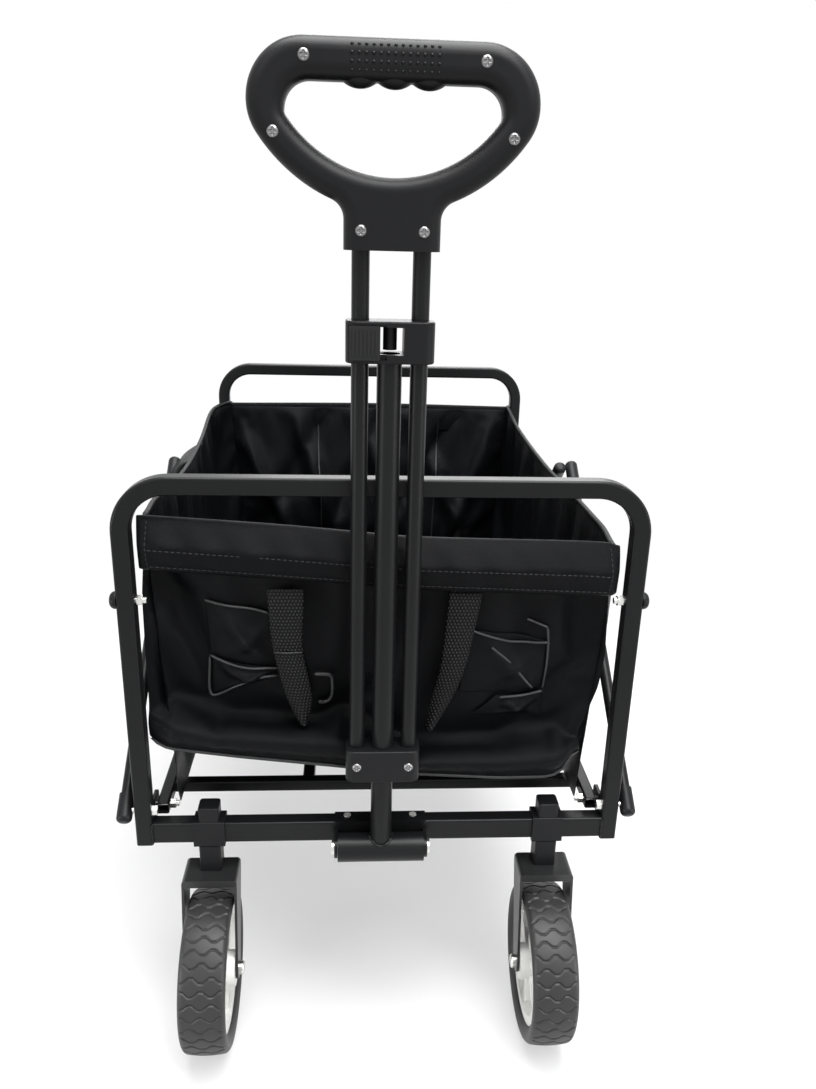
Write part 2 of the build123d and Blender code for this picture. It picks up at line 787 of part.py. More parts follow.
# Front end
parts["front_end_frame"] = make_end_frame()
parts["front_cross_tube"] = make_cross_tube()
caster_housing = make_caster_housing()
parts["caster_housing_right"] = caster_housing
parts["caster_housing_left"] = to_left(caster_housing)
parts["front_pivot_ears"] = both_sides(make_pivot_ear())
parts["front_frame_bolts"] = make_frame_bolts(front_side_x, False)
parts["front_bolt_caps"] = both_sides(make_dome())
parts["front_wall"] = make_end_wall()

# Rear end, the same frame turned round with fixed forks
parts["rear_end_frame"] = to_rear(parts["front_end_frame"])
parts["rear_cross_tube"] = to_rear(parts["front_cross_tube"])
parts["rear_wheel_posts"] = to_rear(both_sides(caster_housing))
parts["rear_pivot_ears"] = to_rear(parts["front_pivot_ears"])
parts["rear_frame_bolts"] = to_rear(make_frame_bolts(rear_side_x, True))
parts["rear_bolt_caps"] = to_rear(parts["front_bolt_caps"])
parts["rear_wall"] = to_rear(parts["front_wall"])

# Casters and wheels
fork = make_fork()
swivel_pin = make_swivel_pin()
axle = make_axle()
tyre = place_wheel(make_tyre())
rim = place_wheel(make_rim())
parts["caster_fork_right"] = fork
parts["caster_fork_left"] = to_left(fork)
parts["caster_bolts_right"] = Compound([swivel_pin, axle])
parts["caster_bolts_left"] = Compound([to_left(swivel_pin), to_left(axle)])
parts["rear_forks"] = to_rear(both_sides(fork))
parts["rear_wheel_bolts"] = to_rear(Compound([swivel_pin, axle, to_left(swivel_pin), to_left(axle)]))
for node, shape in (("tyre", tyre), ("rim", rim)):
    parts["front_right_" + node] = shape
    parts["front_left_" + node] = to_left(shape)
    parts["rear_right_" + node] = to_rear(shape)
    parts["rear_left_" + node] = to_rear(to_left(shape))

# Folding base
parts["base_front_side_tubes"] = both_sides(make_side_tube(front_side_x))
parts["base_front_cross_tubes"] = make_cross_members(front_side_x)
parts["base_rear_side_tubes"] = to_rear(both_sides(make_side_tube(rear_side_x)))
parts["base_rear_cross_tubes"] = to_rear(make_cross_members(rear_side_x))
parts["base_hinge_bolts"] = both_sides(make_hinge_bolt())
parts["floor_pad_front"] = make_floor_pad()
parts["floor_pad_rear"] = to_rear(make_floor_pad())

# Side arms
front_arm, front_arm_caps = make_arm(front_arm_lean)
rear_arm, rear_arm_caps = make_arm(rear_arm_lean)
parts["front_arm_right"] = front_arm
parts["front_arm_caps_right"] = front_arm_caps
parts["front_arm_left"] = to_left(front_arm)
parts["front_arm_caps_left"] = to_left(front_arm_caps)
parts["rear_arm_right"] = to_rear(rear_arm)
parts["rear_arm_caps_right"] = to_rear(rear_arm_caps)
parts["rear_arm_left"] = to_rear(to_left(rear_arm))
parts["rear_arm_caps_left"] = to_rear(to_left(rear_arm_caps))

# Pull handle
parts["handle_bracket"] = make_handle_bracket()
parts["bracket_rivets"] = Compound([make_rivet(-rivet_spacing / 2), make_rivet(rivet_spacing / 2)])
parts["handle_pivot_pin"] = make_handle_pin()
parts["handle_post"] = make_handle_post()
parts["upper_collar"] = make_upper_collar()
parts["lock_button"] = make_lock_button()
parts["lower_collar"] = make_lower_collar()
parts["handle_rods"] = make_rods()
parts["grip_front"] = make_grip_half(True)
parts["grip_rear"] = make_grip_half(False)
parts["handle_screws"] = Compound([make_screw(*place) for place in collar_screws() + grip_screws()])

# Basket sides and the sloping ends of its floor
side_wall = make_side_wall()
parts["side_wall_right"] = side_wall
parts["side_wall_left"] = to_left(side_wall)
parts["floor_apron_front"] = make_apron()
parts["floor_apron_rear"] = to_rear(make_apron())

# The fold: half the frame spacing at the limit, and the matching arm angles
fold_limit = 75.0
base_half = -base_pivot_y
arm_run = -front_y
arm_rise = arm_apex_height - arm_pivot_height
arm_angle = degrees(atan2(arm_rise, arm_run))
folded_half = base_half * cos(radians(fold_limit)) + base_pivot_setback
arm_length = hypot(arm_run, arm_rise)
folded_arm = degrees(atan2((arm_length**2 - folded_half**2) ** 0.5, folded_half))
print("arm angle", round(arm_angle, 3), "folded", round(folded_arm, 3))
print("arm ratio", round((folded_arm - arm_angle) / fold_limit, 5), "folded spacing", round(2 * folded_half, 1))
print("folded apex height", round(arm_pivot_height + arm_length * sin(radians(folded_arm)), 1))

os.makedirs("parts", exist_ok=True)
for node, shape in parts.items():
    export_step(shape, os.path.join("parts", node + ".step"))
print(len(parts), "nodes")
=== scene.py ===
import json
import math
import bpy
import numpy as np
from mathutils import Matrix, Vector


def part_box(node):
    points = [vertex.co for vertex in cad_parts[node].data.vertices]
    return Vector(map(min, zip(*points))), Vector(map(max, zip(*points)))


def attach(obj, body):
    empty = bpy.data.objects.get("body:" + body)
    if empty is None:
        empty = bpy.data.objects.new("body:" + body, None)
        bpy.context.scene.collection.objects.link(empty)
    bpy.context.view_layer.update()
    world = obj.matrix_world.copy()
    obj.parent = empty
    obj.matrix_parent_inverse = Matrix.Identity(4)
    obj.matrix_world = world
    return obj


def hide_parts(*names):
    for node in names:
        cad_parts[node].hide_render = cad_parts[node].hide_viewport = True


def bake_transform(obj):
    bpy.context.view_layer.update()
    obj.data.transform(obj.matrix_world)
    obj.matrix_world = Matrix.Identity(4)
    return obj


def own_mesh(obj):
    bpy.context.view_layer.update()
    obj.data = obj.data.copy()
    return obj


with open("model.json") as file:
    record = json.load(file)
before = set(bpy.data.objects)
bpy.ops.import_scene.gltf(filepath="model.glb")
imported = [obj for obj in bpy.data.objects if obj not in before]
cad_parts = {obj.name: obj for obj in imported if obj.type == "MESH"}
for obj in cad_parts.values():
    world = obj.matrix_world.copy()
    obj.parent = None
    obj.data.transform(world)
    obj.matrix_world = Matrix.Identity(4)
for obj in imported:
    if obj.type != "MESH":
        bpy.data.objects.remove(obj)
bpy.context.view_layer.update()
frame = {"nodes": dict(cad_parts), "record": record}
nodes = frame["nodes"]
scene = bpy.context.scene
print("stage: frame loaded", len(nodes))

# Places read from the CAD: the end frames' planes
frontLow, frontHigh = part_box("front_end_frame")
rearLow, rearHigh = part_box("rear_end_frame")
frontPlane = (frontLow.y + frontHigh.y) / 2
rearPlane = (rearLow.y + rearHigh.y) / 2


# Shader helpers
def node(tree, kind, **values):
    made = tree.nodes.new(kind)
    for key, value in values.items():
        setattr(made, key, value)
    return made


def setInputs(made, **values):
    for key, value in values.items():
        made.inputs[key].default_value = value
    return made


def math2(tree, operation, a, b=None):
    made = node(tree, "ShaderNodeMath", operation=operation)
    for index, value in enumerate((a, b)):
        if value is None:
            continue
        if isinstance(value, (int, float)):
            made.inputs[index].default_value = value
        else:
            tree.links.new(value, made.inputs[index])
    return made.outputs[0]


def mapRange(tree, low, high, **values):
    return setInputs(node(tree, "ShaderNodeMapRange", **values), **{"To Min": low, "To Max": high})


def newGroup(name, inputs, outputs):
    group = bpy.data.node_groups.new(name, "ShaderNodeTree")
    for label, kind, default in inputs:
        socket = group.interface.new_socket(name=label, in_out="INPUT", socket_type=kind)
        if default is not None:
            socket.default_value = default
    for label, kind in outputs:
        group.interface.new_socket(name=label, in_out="OUTPUT", socket_type=kind)
    return group, node(group, "NodeGroupInput").outputs, node(group, "NodeGroupOutput").inputs


# A group for a pattern with a pitch, with the place across and along counted in pitches
def patternGroup(name, pitch):
    group, given, made = newGroup(
        name,
        [("Vector", "NodeSocketVector", None), ("Pitch", "NodeSocketFloat", pitch)],
        [("Height", "NodeSocketFloat")],
    )
    parts = node(group, "ShaderNodeSeparateXYZ")
    group.links.new(given["Vector"], parts.inputs[0])
    across = math2(group, "DIVIDE", parts.outputs["X"], given["Pitch"])
    along = math2(group, "DIVIDE", parts.outputs["Y"], given["Pitch"])
    return group, made, across, along


# Plain weave: threads over and under by turns, as a height from 0 to 1
def weaveGroup():
    group, made, across, along = patternGroup("plainWeave", 0.0009)
    warp = math2(group, "ABSOLUTE", math2(group, "SINE", math2(group, "MULTIPLY", across, math.pi)))
    weft = math2(group, "ABSOLUTE", math2(group, "SINE", math2(group, "MULTIPLY", along, math.pi)))
    cells = math2(group, "ADD", math2(group, "FLOOR", across), math2(group, "FLOOR", along))
    parity = math2(group, "ABSOLUTE", math2(group, "MODULO", cells, 2.0))
    over = math2(group, "MULTIPLY", parity, warp)
    under = math2(group, "MULTIPLY", math2(group, "SUBTRACT", 1.0, parity), weft)
    group.links.new(math2(group, "ADD", over, under), made["Height"])
    return group


# Ribbed webbing: rows of dots, each second row set half a step on, as a height from 0 to 1
def webbingGroup():
    group, made, across, along = patternGroup("ribbedWebbing", 0.0022)
    rib = math2(group, "ABSOLUTE", math2(group, "SINE", math2(group, "MULTIPLY", along, math.pi)))
    step = math2(group, "MULTIPLY", math2(group, "FLOOR", along), 0.5)
    shifted = math2(group, "MULTIPLY", math2(group, "ADD", across, step), math.pi)
    dots = math2(group, "ABSOLUTE", math2(group, "SINE", shifted))
    height = math2(group, "MULTIPLY", math2(group, "POWER", rib, 1.5), math2(group, "POWER", dots, 2.0))
    group.links.new(height, made["Height"])
    return group


# Wear: broad cloudy patches, from 0 to 1
def wearGroup():
    group, given, made = newGroup(
        "cloudyWear",
        [("Vector", "NodeSocketVector", None), ("Patch", "NodeSocketFloat", 14.0)],
        [("Cloud", "NodeSocketFloat")],
    )
    cloud = setInputs(node(group, "ShaderNodeTexNoise"), Detail=3.0, Roughness=0.6)
    group.links.new(given["Vector"], cloud.inputs["Vector"])
    group.links.new(given["Patch"], cloud.inputs["Scale"])
    group.links.new(cloud.outputs["Fac"], made["Cloud"])
    return group


groups = {"weave": weaveGroup(), "webbing": webbingGroup(), "wear": wearGroup()}

# Finishes: base colour, roughness, bump height in metres and its pattern, or else a plain grain. A pattern's
# tint is painted highlight and painted shade: the range by which its colour is lightened on raised threads
# and darkened in the hollows
finishes = {
    "powderCoat": {
        "colour": (0.0075, 0.0078, 0.0084), "rough": 0.33, "gloss": 0.19,
        "bump": 0.00004, "scale": 1600.0,
    },
    "blackPlastic": {
        "colour": (0.0080, 0.0082, 0.0092), "rough": 0.40, "gloss": 0.19,
        "bump": 0.00005, "scale": 1300.0,
    },
    "oxfordCloth": {
        "colour": (0.0029, 0.0032, 0.0040), "rough": 0.36, "gloss": 0.09,
        "bump": 0.00016, "pattern": "weave", "scale": 0.0011, "tint": (0.7, 1.3),
    },
    "webbing": {
        "colour": (0.0120, 0.0122, 0.0128), "rough": 0.5, "gloss": 0.12,
        "bump": 0.0011, "pattern": "webbing", "scale": 0.0032, "tint": (0.1, 3.4),
    },
    "piping": {
        "colour": (0.0150, 0.0155, 0.0170), "rough": 0.34, "gloss": 0.50,
        "bump": 0.00006, "pattern": "weave", "scale": 0.0008, "tint": (0.85, 1.15),
    },
    "tyreRubber": {
        "colour": (0.022, 0.022, 0.022), "rough": 0.46, "gloss": 0.40,
        "bump": 0.00008, "scale": 700.0,
    },
    "whiteRim": {
        "colour": (0.84, 0.84, 0.82), "rough": 0.42, "gloss": 0.5,
        "bump": 0.00003, "scale": 500.0,
    },
    "zincSteel": {
        "colour": (0.70, 0.70, 0.68), "rough": 0.28, "gloss": 0.5,
        "bump": 0.00003, "scale": 1500.0, "metal": 1.0,
    },
    "forkSteel": {
        "colour": (0.0170, 0.0173, 0.0180), "rough": 0.30, "gloss": 0.45,
        "bump": 0.00004, "scale": 1600.0,
    },
    "buttonPlastic": {
        "colour": (0.0160, 0.0163, 0.0172), "rough": 0.36, "gloss": 0.27,
        "bump": 0.00004, "scale": 1300.0,
    },
    "screwSteel": {
        "colour": (0.24, 0.24, 0.24), "rough": 0.34, "gloss": 0.5,
        "bump": 0.00003, "scale": 1500.0, "metal": 1.0,
    },
    "rivetZinc": {
        "colour": (0.62, 0.62, 0.60), "rough": 0.40, "gloss": 0.5,
        "bump": 0.00003, "scale": 1500.0, "metal": 0.4,
    },
    "thread": {
        "colour": (0.020, 0.020, 0.022), "rough": 0.6, "gloss": 0.3,
        "bump": 0.00005, "scale": 2500.0,
    },
}


# How far the cloudy wear moves every finish's shade and roughness
wearLook = {"shade": (0.82, 1.22), "rough": 0.07}


def makeFinish(name, look):
    material = bpy.data.materials.new(name)
    material.use_nodes = True
    tree = material.node_tree
    surface = tree.nodes["Principled BSDF"]
    place = node(tree, "ShaderNodeTexCoord")
    wear = node(tree, "ShaderNodeGroup", node_tree=groups["wear"])
    tree.links.new(place.outputs["Object"], wear.inputs["Vector"])
    shade = mapRange(tree, *wearLook["shade"])
    tree.links.new(wear.outputs["Cloud"], shade.inputs["Value"])
    tint = node(tree, "ShaderNodeMix", data_type="RGBA", blend_type="MULTIPLY")
    tint.inputs["Factor"].default_value = 1.0
    tint.inputs["A"].default_value = (*look["colour"], 1.0)
    tree.links.new(shade.outputs["Result"], tint.inputs["B"])
    tree.links.new(tint.outputs["Result"], surface.inputs["Base Color"])
    rough = mapRange(tree, look["rough"] - wearLook["rough"], look["rough"] + wearLook["rough"])
    tree.links.new(wear.outputs["Cloud"], rough.inputs["Value"])
    tree.links.new(rough.outputs["Result"], surface.inputs["Roughness"])
    surface.inputs["Metallic"].default_value = look.get("metal", 0.0)
    surface.inputs["Specular IOR Level"].default_value = look["gloss"]
    bump = setInputs(node(tree, "ShaderNodeBump"), Strength=1.0, Distance=look["bump"])
    if "pattern" not in look:
        grain = setInputs(node(tree, "ShaderNodeTexNoise"), Scale=look["scale"], Detail=2.0)
        tree.links.new(place.outputs["Object"], grain.inputs["Vector"])
        tree.links.new(grain.outputs["Fac"], bump.inputs["Height"])
    else:
        pattern = node(tree, "ShaderNodeGroup", node_tree=groups[look["pattern"]])
        pattern.inputs["Pitch"].default_value = look["scale"]
        tree.links.new(place.outputs["UV"], pattern.inputs["Vector"])
        tree.links.new(pattern.outputs["Height"], bump.inputs["Height"])
        # Painted highlight and painted shade on the pattern's relief: colour lighter where the threads rise
        # and darker in the hollows between them
        paintedReliefLight = mapRange(tree, *look["tint"])
        tree.links.new(pattern.outputs["Height"], paintedReliefLight.inputs["Value"])
        colourWithReliefLight = node(tree, "ShaderNodeMix", data_type="RGBA", blend_type="MULTIPLY")
        colourWithReliefLight.inputs["Factor"].default_value = 1.0
        tree.links.new(tint.outputs["Result"], colourWithReliefLight.inputs["A"])
        tree.links.new(paintedReliefLight.outputs["Result"], colourWithReliefLight.inputs["B"])
        tree.links.new(colourWithReliefLight.outputs["Result"], surface.inputs["Base Color"])
    tree.links.new(bump.outputs["Normal"], surface.inputs["Normal"])
    return material


materials = {name: makeFinish(name, look) for name, look in finishes.items()}
slotFinish = {
    "frame_black": "powderCoat",
    "plastic_black": "blackPlastic",
    "bolt_steel": "zincSteel",
    "fabric_black": "oxfordCloth",
    "tyre_black": "tyreRubber",
    "rim_white": "whiteRim",
}
for row in frame["record"]["subparts"]:
    mesh = nodes[row["node"]].data
    mesh.materials.clear()
    mesh.materials.append(materials[slotFinish[row["material_slot"]]])
nodeFinish = {
    "bracket_rivets": "rivetZinc",
    "handle_screws": "screwSteel",
    "caster_fork_left": "forkSteel",
    "caster_fork_right": "forkSteel",
    "rear_forks": "forkSteel",
    "lock_button": "buttonPlastic",
}
for name, finish in nodeFinish.items():
    nodes[name].data.materials[0] = materials[finish]
print("stage: finishes")


# Mesh helpers
def gridFaces(rows, cols, wrapRows=False, wrapCols=False):
    i = np.arange(rows if wrapRows else rows - 1)[:, None]
    j = np.arange(cols if wrapCols else cols - 1)[None, :]
    a = i * cols + j
    b = i * cols + (j + 1) % cols
    c = (i + 1) % rows * cols + (j + 1) % cols
    d = (i + 1) % rows * cols + j
    return np.stack([a, b, c, d], -1).reshape(-1, 4)


# The faces of many like grids, one after another in one mesh
def repeatFaces(points):
    count, rows, cols = points.shape[:3]
    faces = gridFaces(rows, cols, wrapCols=True)
    return (faces[None] + np.arange(count)[:, None, None] * rows * cols).reshape(-1, 4)


# Surface lengths along the rows and columns, in metres, used as the pattern's place
def gridPlace(points):
    across = np.linalg.norm(np.diff(points, axis=1, prepend=points[:, :1]), axis=2).cumsum(1)
    along = np.linalg.norm(np.diff(points, axis=0, prepend=points[:1]), axis=2).cumsum(0)
    return np.stack([across, along], -1)


def addMesh(name, points, faces, place, finish):
    mesh = bpy.data.meshes.new(name)
    count = len(faces)
    mesh.vertices.add(len(points))
    mesh.vertices.foreach_set("co", np.ascontiguousarray(points, np.float32).ravel())
    mesh.loops.add(count * 4)
    mesh.loops.foreach_set("vertex_index", np.ascontiguousarray(faces, np.int32).ravel())
    mesh.polygons.add(count)
    mesh.polygons.foreach_set("loop_start", np.arange(0, count * 4, 4, dtype=np.int32))
    layer = mesh.uv_layers.new(name="place")
    layer.data.foreach_set("uv", np.ascontiguousarray(place[faces.ravel()], np.float32).ravel())
    mesh.update(calc_edges=True)
    mesh.shade_smooth()
    mesh.materials.append(materials[finish])
    piece = bpy.data.objects.new(name, mesh)
    scene.collection.objects.link(piece)
    return piece


def addGrid(name, points, finish, wrapRows=False, wrapCols=False, flip=False, smooth=0, thick=0.0):
    rows, cols = points.shape[:2]
    faces = gridFaces(rows, cols, wrapRows, wrapCols)
    if flip:
        faces = faces[:, ::-1]
    piece = addMesh(name, points.reshape(-1, 3), faces, gridPlace(points).reshape(-1, 2), finish)
    if thick:
        layer = piece.modifiers.new("thickness", "SOLIDIFY")
        layer.thickness = thick
        layer.offset = 0.0
    if smooth:
        rounding = piece.modifiers.new("rounding", "SUBSURF")
        rounding.levels = smooth
        rounding.render_levels = smooth
    return piece


# A smooth line through the given points, evenly spaced by count
def smoothLine(points, count):
    points = np.asarray(points, float)
    line = np.vstack([2 * points[0] - points[1], points, 2 * points[-1] - points[-2]])
    at = np.linspace(0, len(points) - 1 - 1e-9, count)
    i = at.astype(int)
    t = (at - i)[:, None]
    p0, p1, p2, p3 = line[i], line[i + 1], line[i + 2], line[i + 3]
    square = (2 * p0 - 5 * p1 + 4 * p2 - p3) * t**2
    cube = (3 * p1 - p0 - 3 * p2 + p3) * t**3
    return 0.5 * (2 * p1 + (p2 - p0) * t + square + cube)


# A round tube along a line, with its ends drawn in to points
def tubePoints(line, radius, sides=10, reference=(0.0, 1.0, 0.0), closed=False):
    along = np.gradient(line, axis=0)
    along /= np.linalg.norm(along, axis=1, keepdims=True)
    side = np.cross(along, np.asarray(reference, float))
    side /= np.linalg.norm(side, axis=1, keepdims=True)
    up = np.cross(side, along)
    turn = np.linspace(0, 2 * np.pi, sides, endpoint=False)
    size = np.full(len(line), 1.0) * radius
    if not closed:
        size[[0, -1]] *= 0.05
    ring = side[:, None] * np.cos(turn)[None, :, None] + up[:, None] * np.sin(turn)[None, :, None]
    return line[:, None] + ring * size[:, None, None]


# Shares from 0 to 1 across a panel and down it
def unitGrid(rows, cols):
    return np.linspace(0, 1, cols)[None, :], np.linspace(0, 1, rows)[:, None]


def softStep(x, low, high):
    t = np.clip((x - low) / (high - low), 0, 1)
    return t * t * (3 - 2 * t)


# A panel held along its top two rows, its foot and its sides
def pinEdges(rows, cols):
    pin = np.zeros((rows, cols))
    pin[:2] = 1
    pin[-1] = 1
    pin[:, [0, -1]] = 1
    return pin


clothLook = {"frames": 45, "quality": 8, "mass": 0.3, "air": 4.0, "stretch": 25.0, "shear": 8.0, "bend": 6.0}


# Cloth a little larger than its frame, held at its pinned places, sags into folds
def settle(name, points, pin, slack):
    rows, cols = points.shape[:2]
    piece = addGrid(name, points, "oxfordCloth")
    held = piece.vertex_groups.new(name="held")
    levels = np.round(pin.ravel(), 2)
    for level in np.unique(levels[levels > 0]):
        held.add(np.flatnonzero(levels == level).tolist(), float(level), "REPLACE")
    cloth = piece.modifiers.new("cloth", "CLOTH")
    cloth.settings.quality = clothLook["quality"]
    cloth.settings.mass = clothLook["mass"]
    cloth.settings.air_damping = clothLook["air"]
    cloth.settings.tension_stiffness = clothLook["stretch"]
    cloth.settings.compression_stiffness = clothLook["stretch"]
    cloth.settings.shear_stiffness = clothLook["shear"]
    cloth.settings.bending_stiffness = clothLook["bend"]
    cloth.settings.vertex_group_mass = "held"
    cloth.settings.shrink_min = -slack
    cloth.collision_settings.use_collision = False
    cloth.collision_settings.use_self_collision = False
    cloth.point_cache.frame_start = 1
    cloth.point_cache.frame_end = clothLook["frames"]
    for step in range(1, clothLook["frames"] + 1):
        scene.frame_set(step)
    seen = piece.evaluated_get(bpy.context.evaluated_depsgraph_get())
    found = np.empty(rows * cols * 3, np.float32)
    seen.data.vertices.foreach_get("co", found)
    scene.frame_set(1)
    bpy.data.objects.remove(piece)
    return found.reshape(rows, cols, 3).astype(float)


# Soft folds down a panel: ridges given by place, slant, width and depth, fading at the top and foot
def foldDepth(u, v, folds):
    depth = np.zeros(np.broadcast_shapes(u.shape, v.shape))
    for place, slant, width, rise in folds:
        depth = depth + rise * np.exp(-(((u - place - slant * (v - 0.5)) / width) ** 2))
    return depth * np.sin(np.pi * np.clip(v, 0, 1)) ** 0.6


# Front wall: under the cuff, down to a lip that bulges forward and ends in a piped edge
frontWall = {
    "top": 0.505,
    "left": -0.212,
    "width": 0.415,
    "inset": 0.0065,
    "lipStart": 0.72,
    "lipRun": 0.28,
    "slack": 0.025,
    "recess": 0.017,
    "lipOut": 0.019,
    "lipTop": [
        (-0.218, 0.346), (-0.187, 0.347), (-0.148, 0.337), (-0.033, 0.330), (0.037, 0.306), (0.117, 0.309),
        (0.195, 0.314),
    ],
    "edge": [
        (-0.218, 0.328), (-0.211, 0.318), (-0.200, 0.3125), (-0.127, 0.302), (-0.036, 0.291), (0.038, 0.2815),
        (0.126, 0.276), (0.170, 0.2765), (0.183, 0.280), (0.191, 0.288), (0.196, 0.300),
    ],
    "leftSide": [
        (0.28, -0.217), (0.32, -0.2175), (0.356, -0.2165), (0.40, -0.2165), (0.46, -0.2155), (0.505, -0.211),
    ],
    "rightSide": [
        (0.275, 0.191), (0.295, 0.1935), (0.317, 0.190), (0.366, 0.206), (0.40, 0.2095), (0.45, 0.2075),
        (0.505, 0.205),
    ],
    "folds": [
        (0.09, 0.12, 0.035, -0.006), (0.20, 0.22, 0.05, 0.006), (0.33, -0.12, 0.06, -0.006),
        (0.50, 0.05, 0.08, -0.006), (0.66, 0.15, 0.05, 0.005), (0.80, -0.16, 0.045, -0.005),
        (0.90, 0.14, 0.035, 0.007),
    ],
}


def alongList(pairs, at):
    pairs = np.asarray(pairs)
    return np.interp(at, pairs[:, 0], pairs[:, 1])


# The same list read as a smooth line
def smoothList(pairs, at):
    pairs = np.asarray(pairs, float)
    line = smoothLine(pairs, 200)
    return np.interp(at, line[:, 0], line[:, 1])


def frontWallPoints(rows=34, cols=52):
    u, v = unitGrid(rows, cols)
    top, start = frontWall["top"], frontWall["lipStart"]
    x0 = frontWall["left"] + frontWall["width"] * u
    lip = alongList(frontWall["lipTop"], x0)
    foot = alongList(frontWall["edge"], x0)
    upper = top + (lip - top) * v / start
    lower = lip + (foot - lip) * (v - start) / frontWall["lipRun"]
    z = np.where(v < start, upper, lower)
    left = alongList(frontWall["leftSide"], z)
    right = alongList(frontWall["rightSide"], z)
    x = left + (right - left) * u
    bulge = softStep(v, 0.69, 0.82) * (1 - 0.5 * softStep(v, 0.86, 1.0))
    sides = softStep(u, 0, 0.06) * softStep(1 - u, 0, 0.06)
    sink = softStep(v, 0.0, 0.2) * (1 - softStep(v, 0.66, 0.80)) * frontWall["recess"]
    dents = foldDepth(u, v / start, frontWall["folds"]) * (v < start)
    y = frontPlane + frontWall["inset"] + (sink - dents) * sides
    y = y - frontWall["lipOut"] * bulge * (0.3 + 0.7 * sides)
    pin = np.maximum(pinEdges(rows, cols), 0.85 * softStep(v, 0.7, 0.8) * np.ones_like(u))
    return np.stack([x, y, z], -1), pin


wallPoints, wallPin = frontWallPoints()
wallPoints = settle("frontWallTrial", wallPoints, wallPin, frontWall["slack"])
frontCloth = addGrid("frontWallCloth", wallPoints, "oxfordCloth", smooth=2, flip=True, thick=0.0012)
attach(frontCloth, "front_frame")
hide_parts("front_wall")
print("stage: front wall")


# A padded cuff along an end wall's top: a rounded D section carried along x, pinched at its ends
cuffLook = {
    "topLine": [
        (-0.212, 0.5375), (-0.105, 0.5305), (-0.029, 0.524), (0.0325, 0.519), (0.184, 0.5155), (0.209, 0.512),
    ],
    "footLine": [
        (-0.212, 0.4885), (-0.106, 0.481), (-0.029, 0.4752), (0.0323, 0.4706), (0.196, 0.4645),
        (0.209, 0.466),
    ],
    "rearTop": [(-0.212, 0.514), (0.0, 0.5165), (0.212, 0.514)],
    "rearFoot": [(-0.212, 0.470), (0.0, 0.473), (0.212, 0.470)],
    "section": [
        (0.0, 0.0045), (0.08, 0.0085), (0.3, 0.0125), (0.5, 0.0150), (0.62, 0.0125), (0.8, 0.0060),
        (0.94, -0.0005), (1.0, -0.0045),
    ],
    "back": 0.0075,
    "lumps": 9,
    "lumpRise": 0.0028,
    "ripple": 0.0008,
}


# Across the cuff: out over a crease at mid height and back down its flat rear face
def cuffPoints(outward, plane, topLine, footLine, reach, seed, cols=110, ring=24):
    random = np.random.RandomState(seed)
    x = np.linspace(*reach, cols)[:, None]
    rise = np.linspace(0, 1, ring)[None, :]
    top = smoothList(topLine, x)
    foot = smoothList(footLine, x)
    swell = np.zeros_like(x)
    lumps, lumpRise = cuffLook["lumps"], cuffLook["lumpRise"]
    places = random.uniform(-0.2, 0.2, lumps)
    spreads = random.uniform(0.02, 0.06, lumps)
    sizes = random.uniform(-lumpRise, lumpRise, lumps)
    for place, spread, size in zip(places, spreads, sizes):
        swell = swell + size * np.exp(-(((x - place) / spread) ** 2))
    middle, half = (reach[0] + reach[1]) / 2, (reach[1] - reach[0]) / 2
    ends = np.sqrt(np.clip(1 - (np.abs(x - middle) / half) ** 26, 0, 1))
    out = smoothList(cuffLook["section"], rise)
    ripple = cuffLook["ripple"] * np.sin(x * 170 + 5 * rise) * np.sin(np.pi * rise)
    front = (out + swell * np.sin(np.pi * rise) + ripple) * (0.35 + 0.65 * ends)
    back = -cuffLook["back"] - 0.0015 * np.sin(np.pi * rise) + 0 * x
    z = foot + (top - foot) * rise
    section = np.concatenate([front, back[:, ::-1][:, 1:-1]], 1)
    height = np.concatenate([z, z[:, ::-1][:, 1:-1]], 1)
    return np.stack([x + 0 * section, plane + outward * section, height], -1)


def addCuff(name, body, outward, plane, topLine, footLine, reach, seed):
    points = cuffPoints(outward, plane, topLine, footLine, reach, seed)
    cuff = addGrid(name, points, "oxfordCloth", wrapCols=True, smooth=1, flip=outward < 0)
    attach(cuff, body)


frontLines = (cuffLook["topLine"], cuffLook["footLine"])
rearLines = (cuffLook["rearTop"], cuffLook["rearFoot"])
addCuff("frontCuff", "front_frame", -1.0, frontPlane, *frontLines, (-0.2135, 0.2105), 3)
addCuff("rearCuff", "rear_frame", 1.0, rearPlane, *rearLines, (-0.2165, 0.2165), 8)
print("stage: cuffs")


# Rear wall and side walls: loose panels that hang in folds from their top hems
rearWall = {
    "top": 0.509,
    "foot": 0.286,
    "half": 0.2175,
    "taper": 0.0165,
    "inset": 0.0085,
    "sag": 0.012,
    "slack": 0.02,
    "folds": [
        (0.10, 0.22, 0.028, 0.013), (0.19, -0.30, 0.035, -0.011), (0.30, 0.16, 0.032, 0.017),
        (0.42, -0.24, 0.03, -0.011), (0.55, 0.20, 0.035, 0.015), (0.66, -0.32, 0.03, -0.013),
        (0.76, 0.28, 0.032, 0.016), (0.88, -0.14, 0.028, 0.012),
    ],
}


def rearWallPoints(rows=26, cols=56):
    u, v = unitGrid(rows, cols)
    z = rearWall["top"] + (rearWall["foot"] - rearWall["top"]) * v + 0 * u
    half = rearWall["half"] - rearWall["taper"] * v
    x = (2 * u - 1) * half
    sides = softStep(u, 0, 0.08) * softStep(1 - u, 0, 0.08)
    hang = (rearWall["sag"] * np.sin(np.pi * v) + foldDepth(u, v, rearWall["folds"])) * sides
    y = rearPlane - rearWall["inset"] - hang
    return np.stack([x, y, z], -1), pinEdges(rows, cols)


rearPoints, rearPin = rearWallPoints()
rearPoints = settle("rearWallTrial", rearPoints, rearPin, rearWall["slack"])
rearCloth = addGrid("rearWallCloth", rearPoints, "oxfordCloth", smooth=2, thick=0.0012)
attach(rearCloth, "rear_frame")
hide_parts("rear_wall")


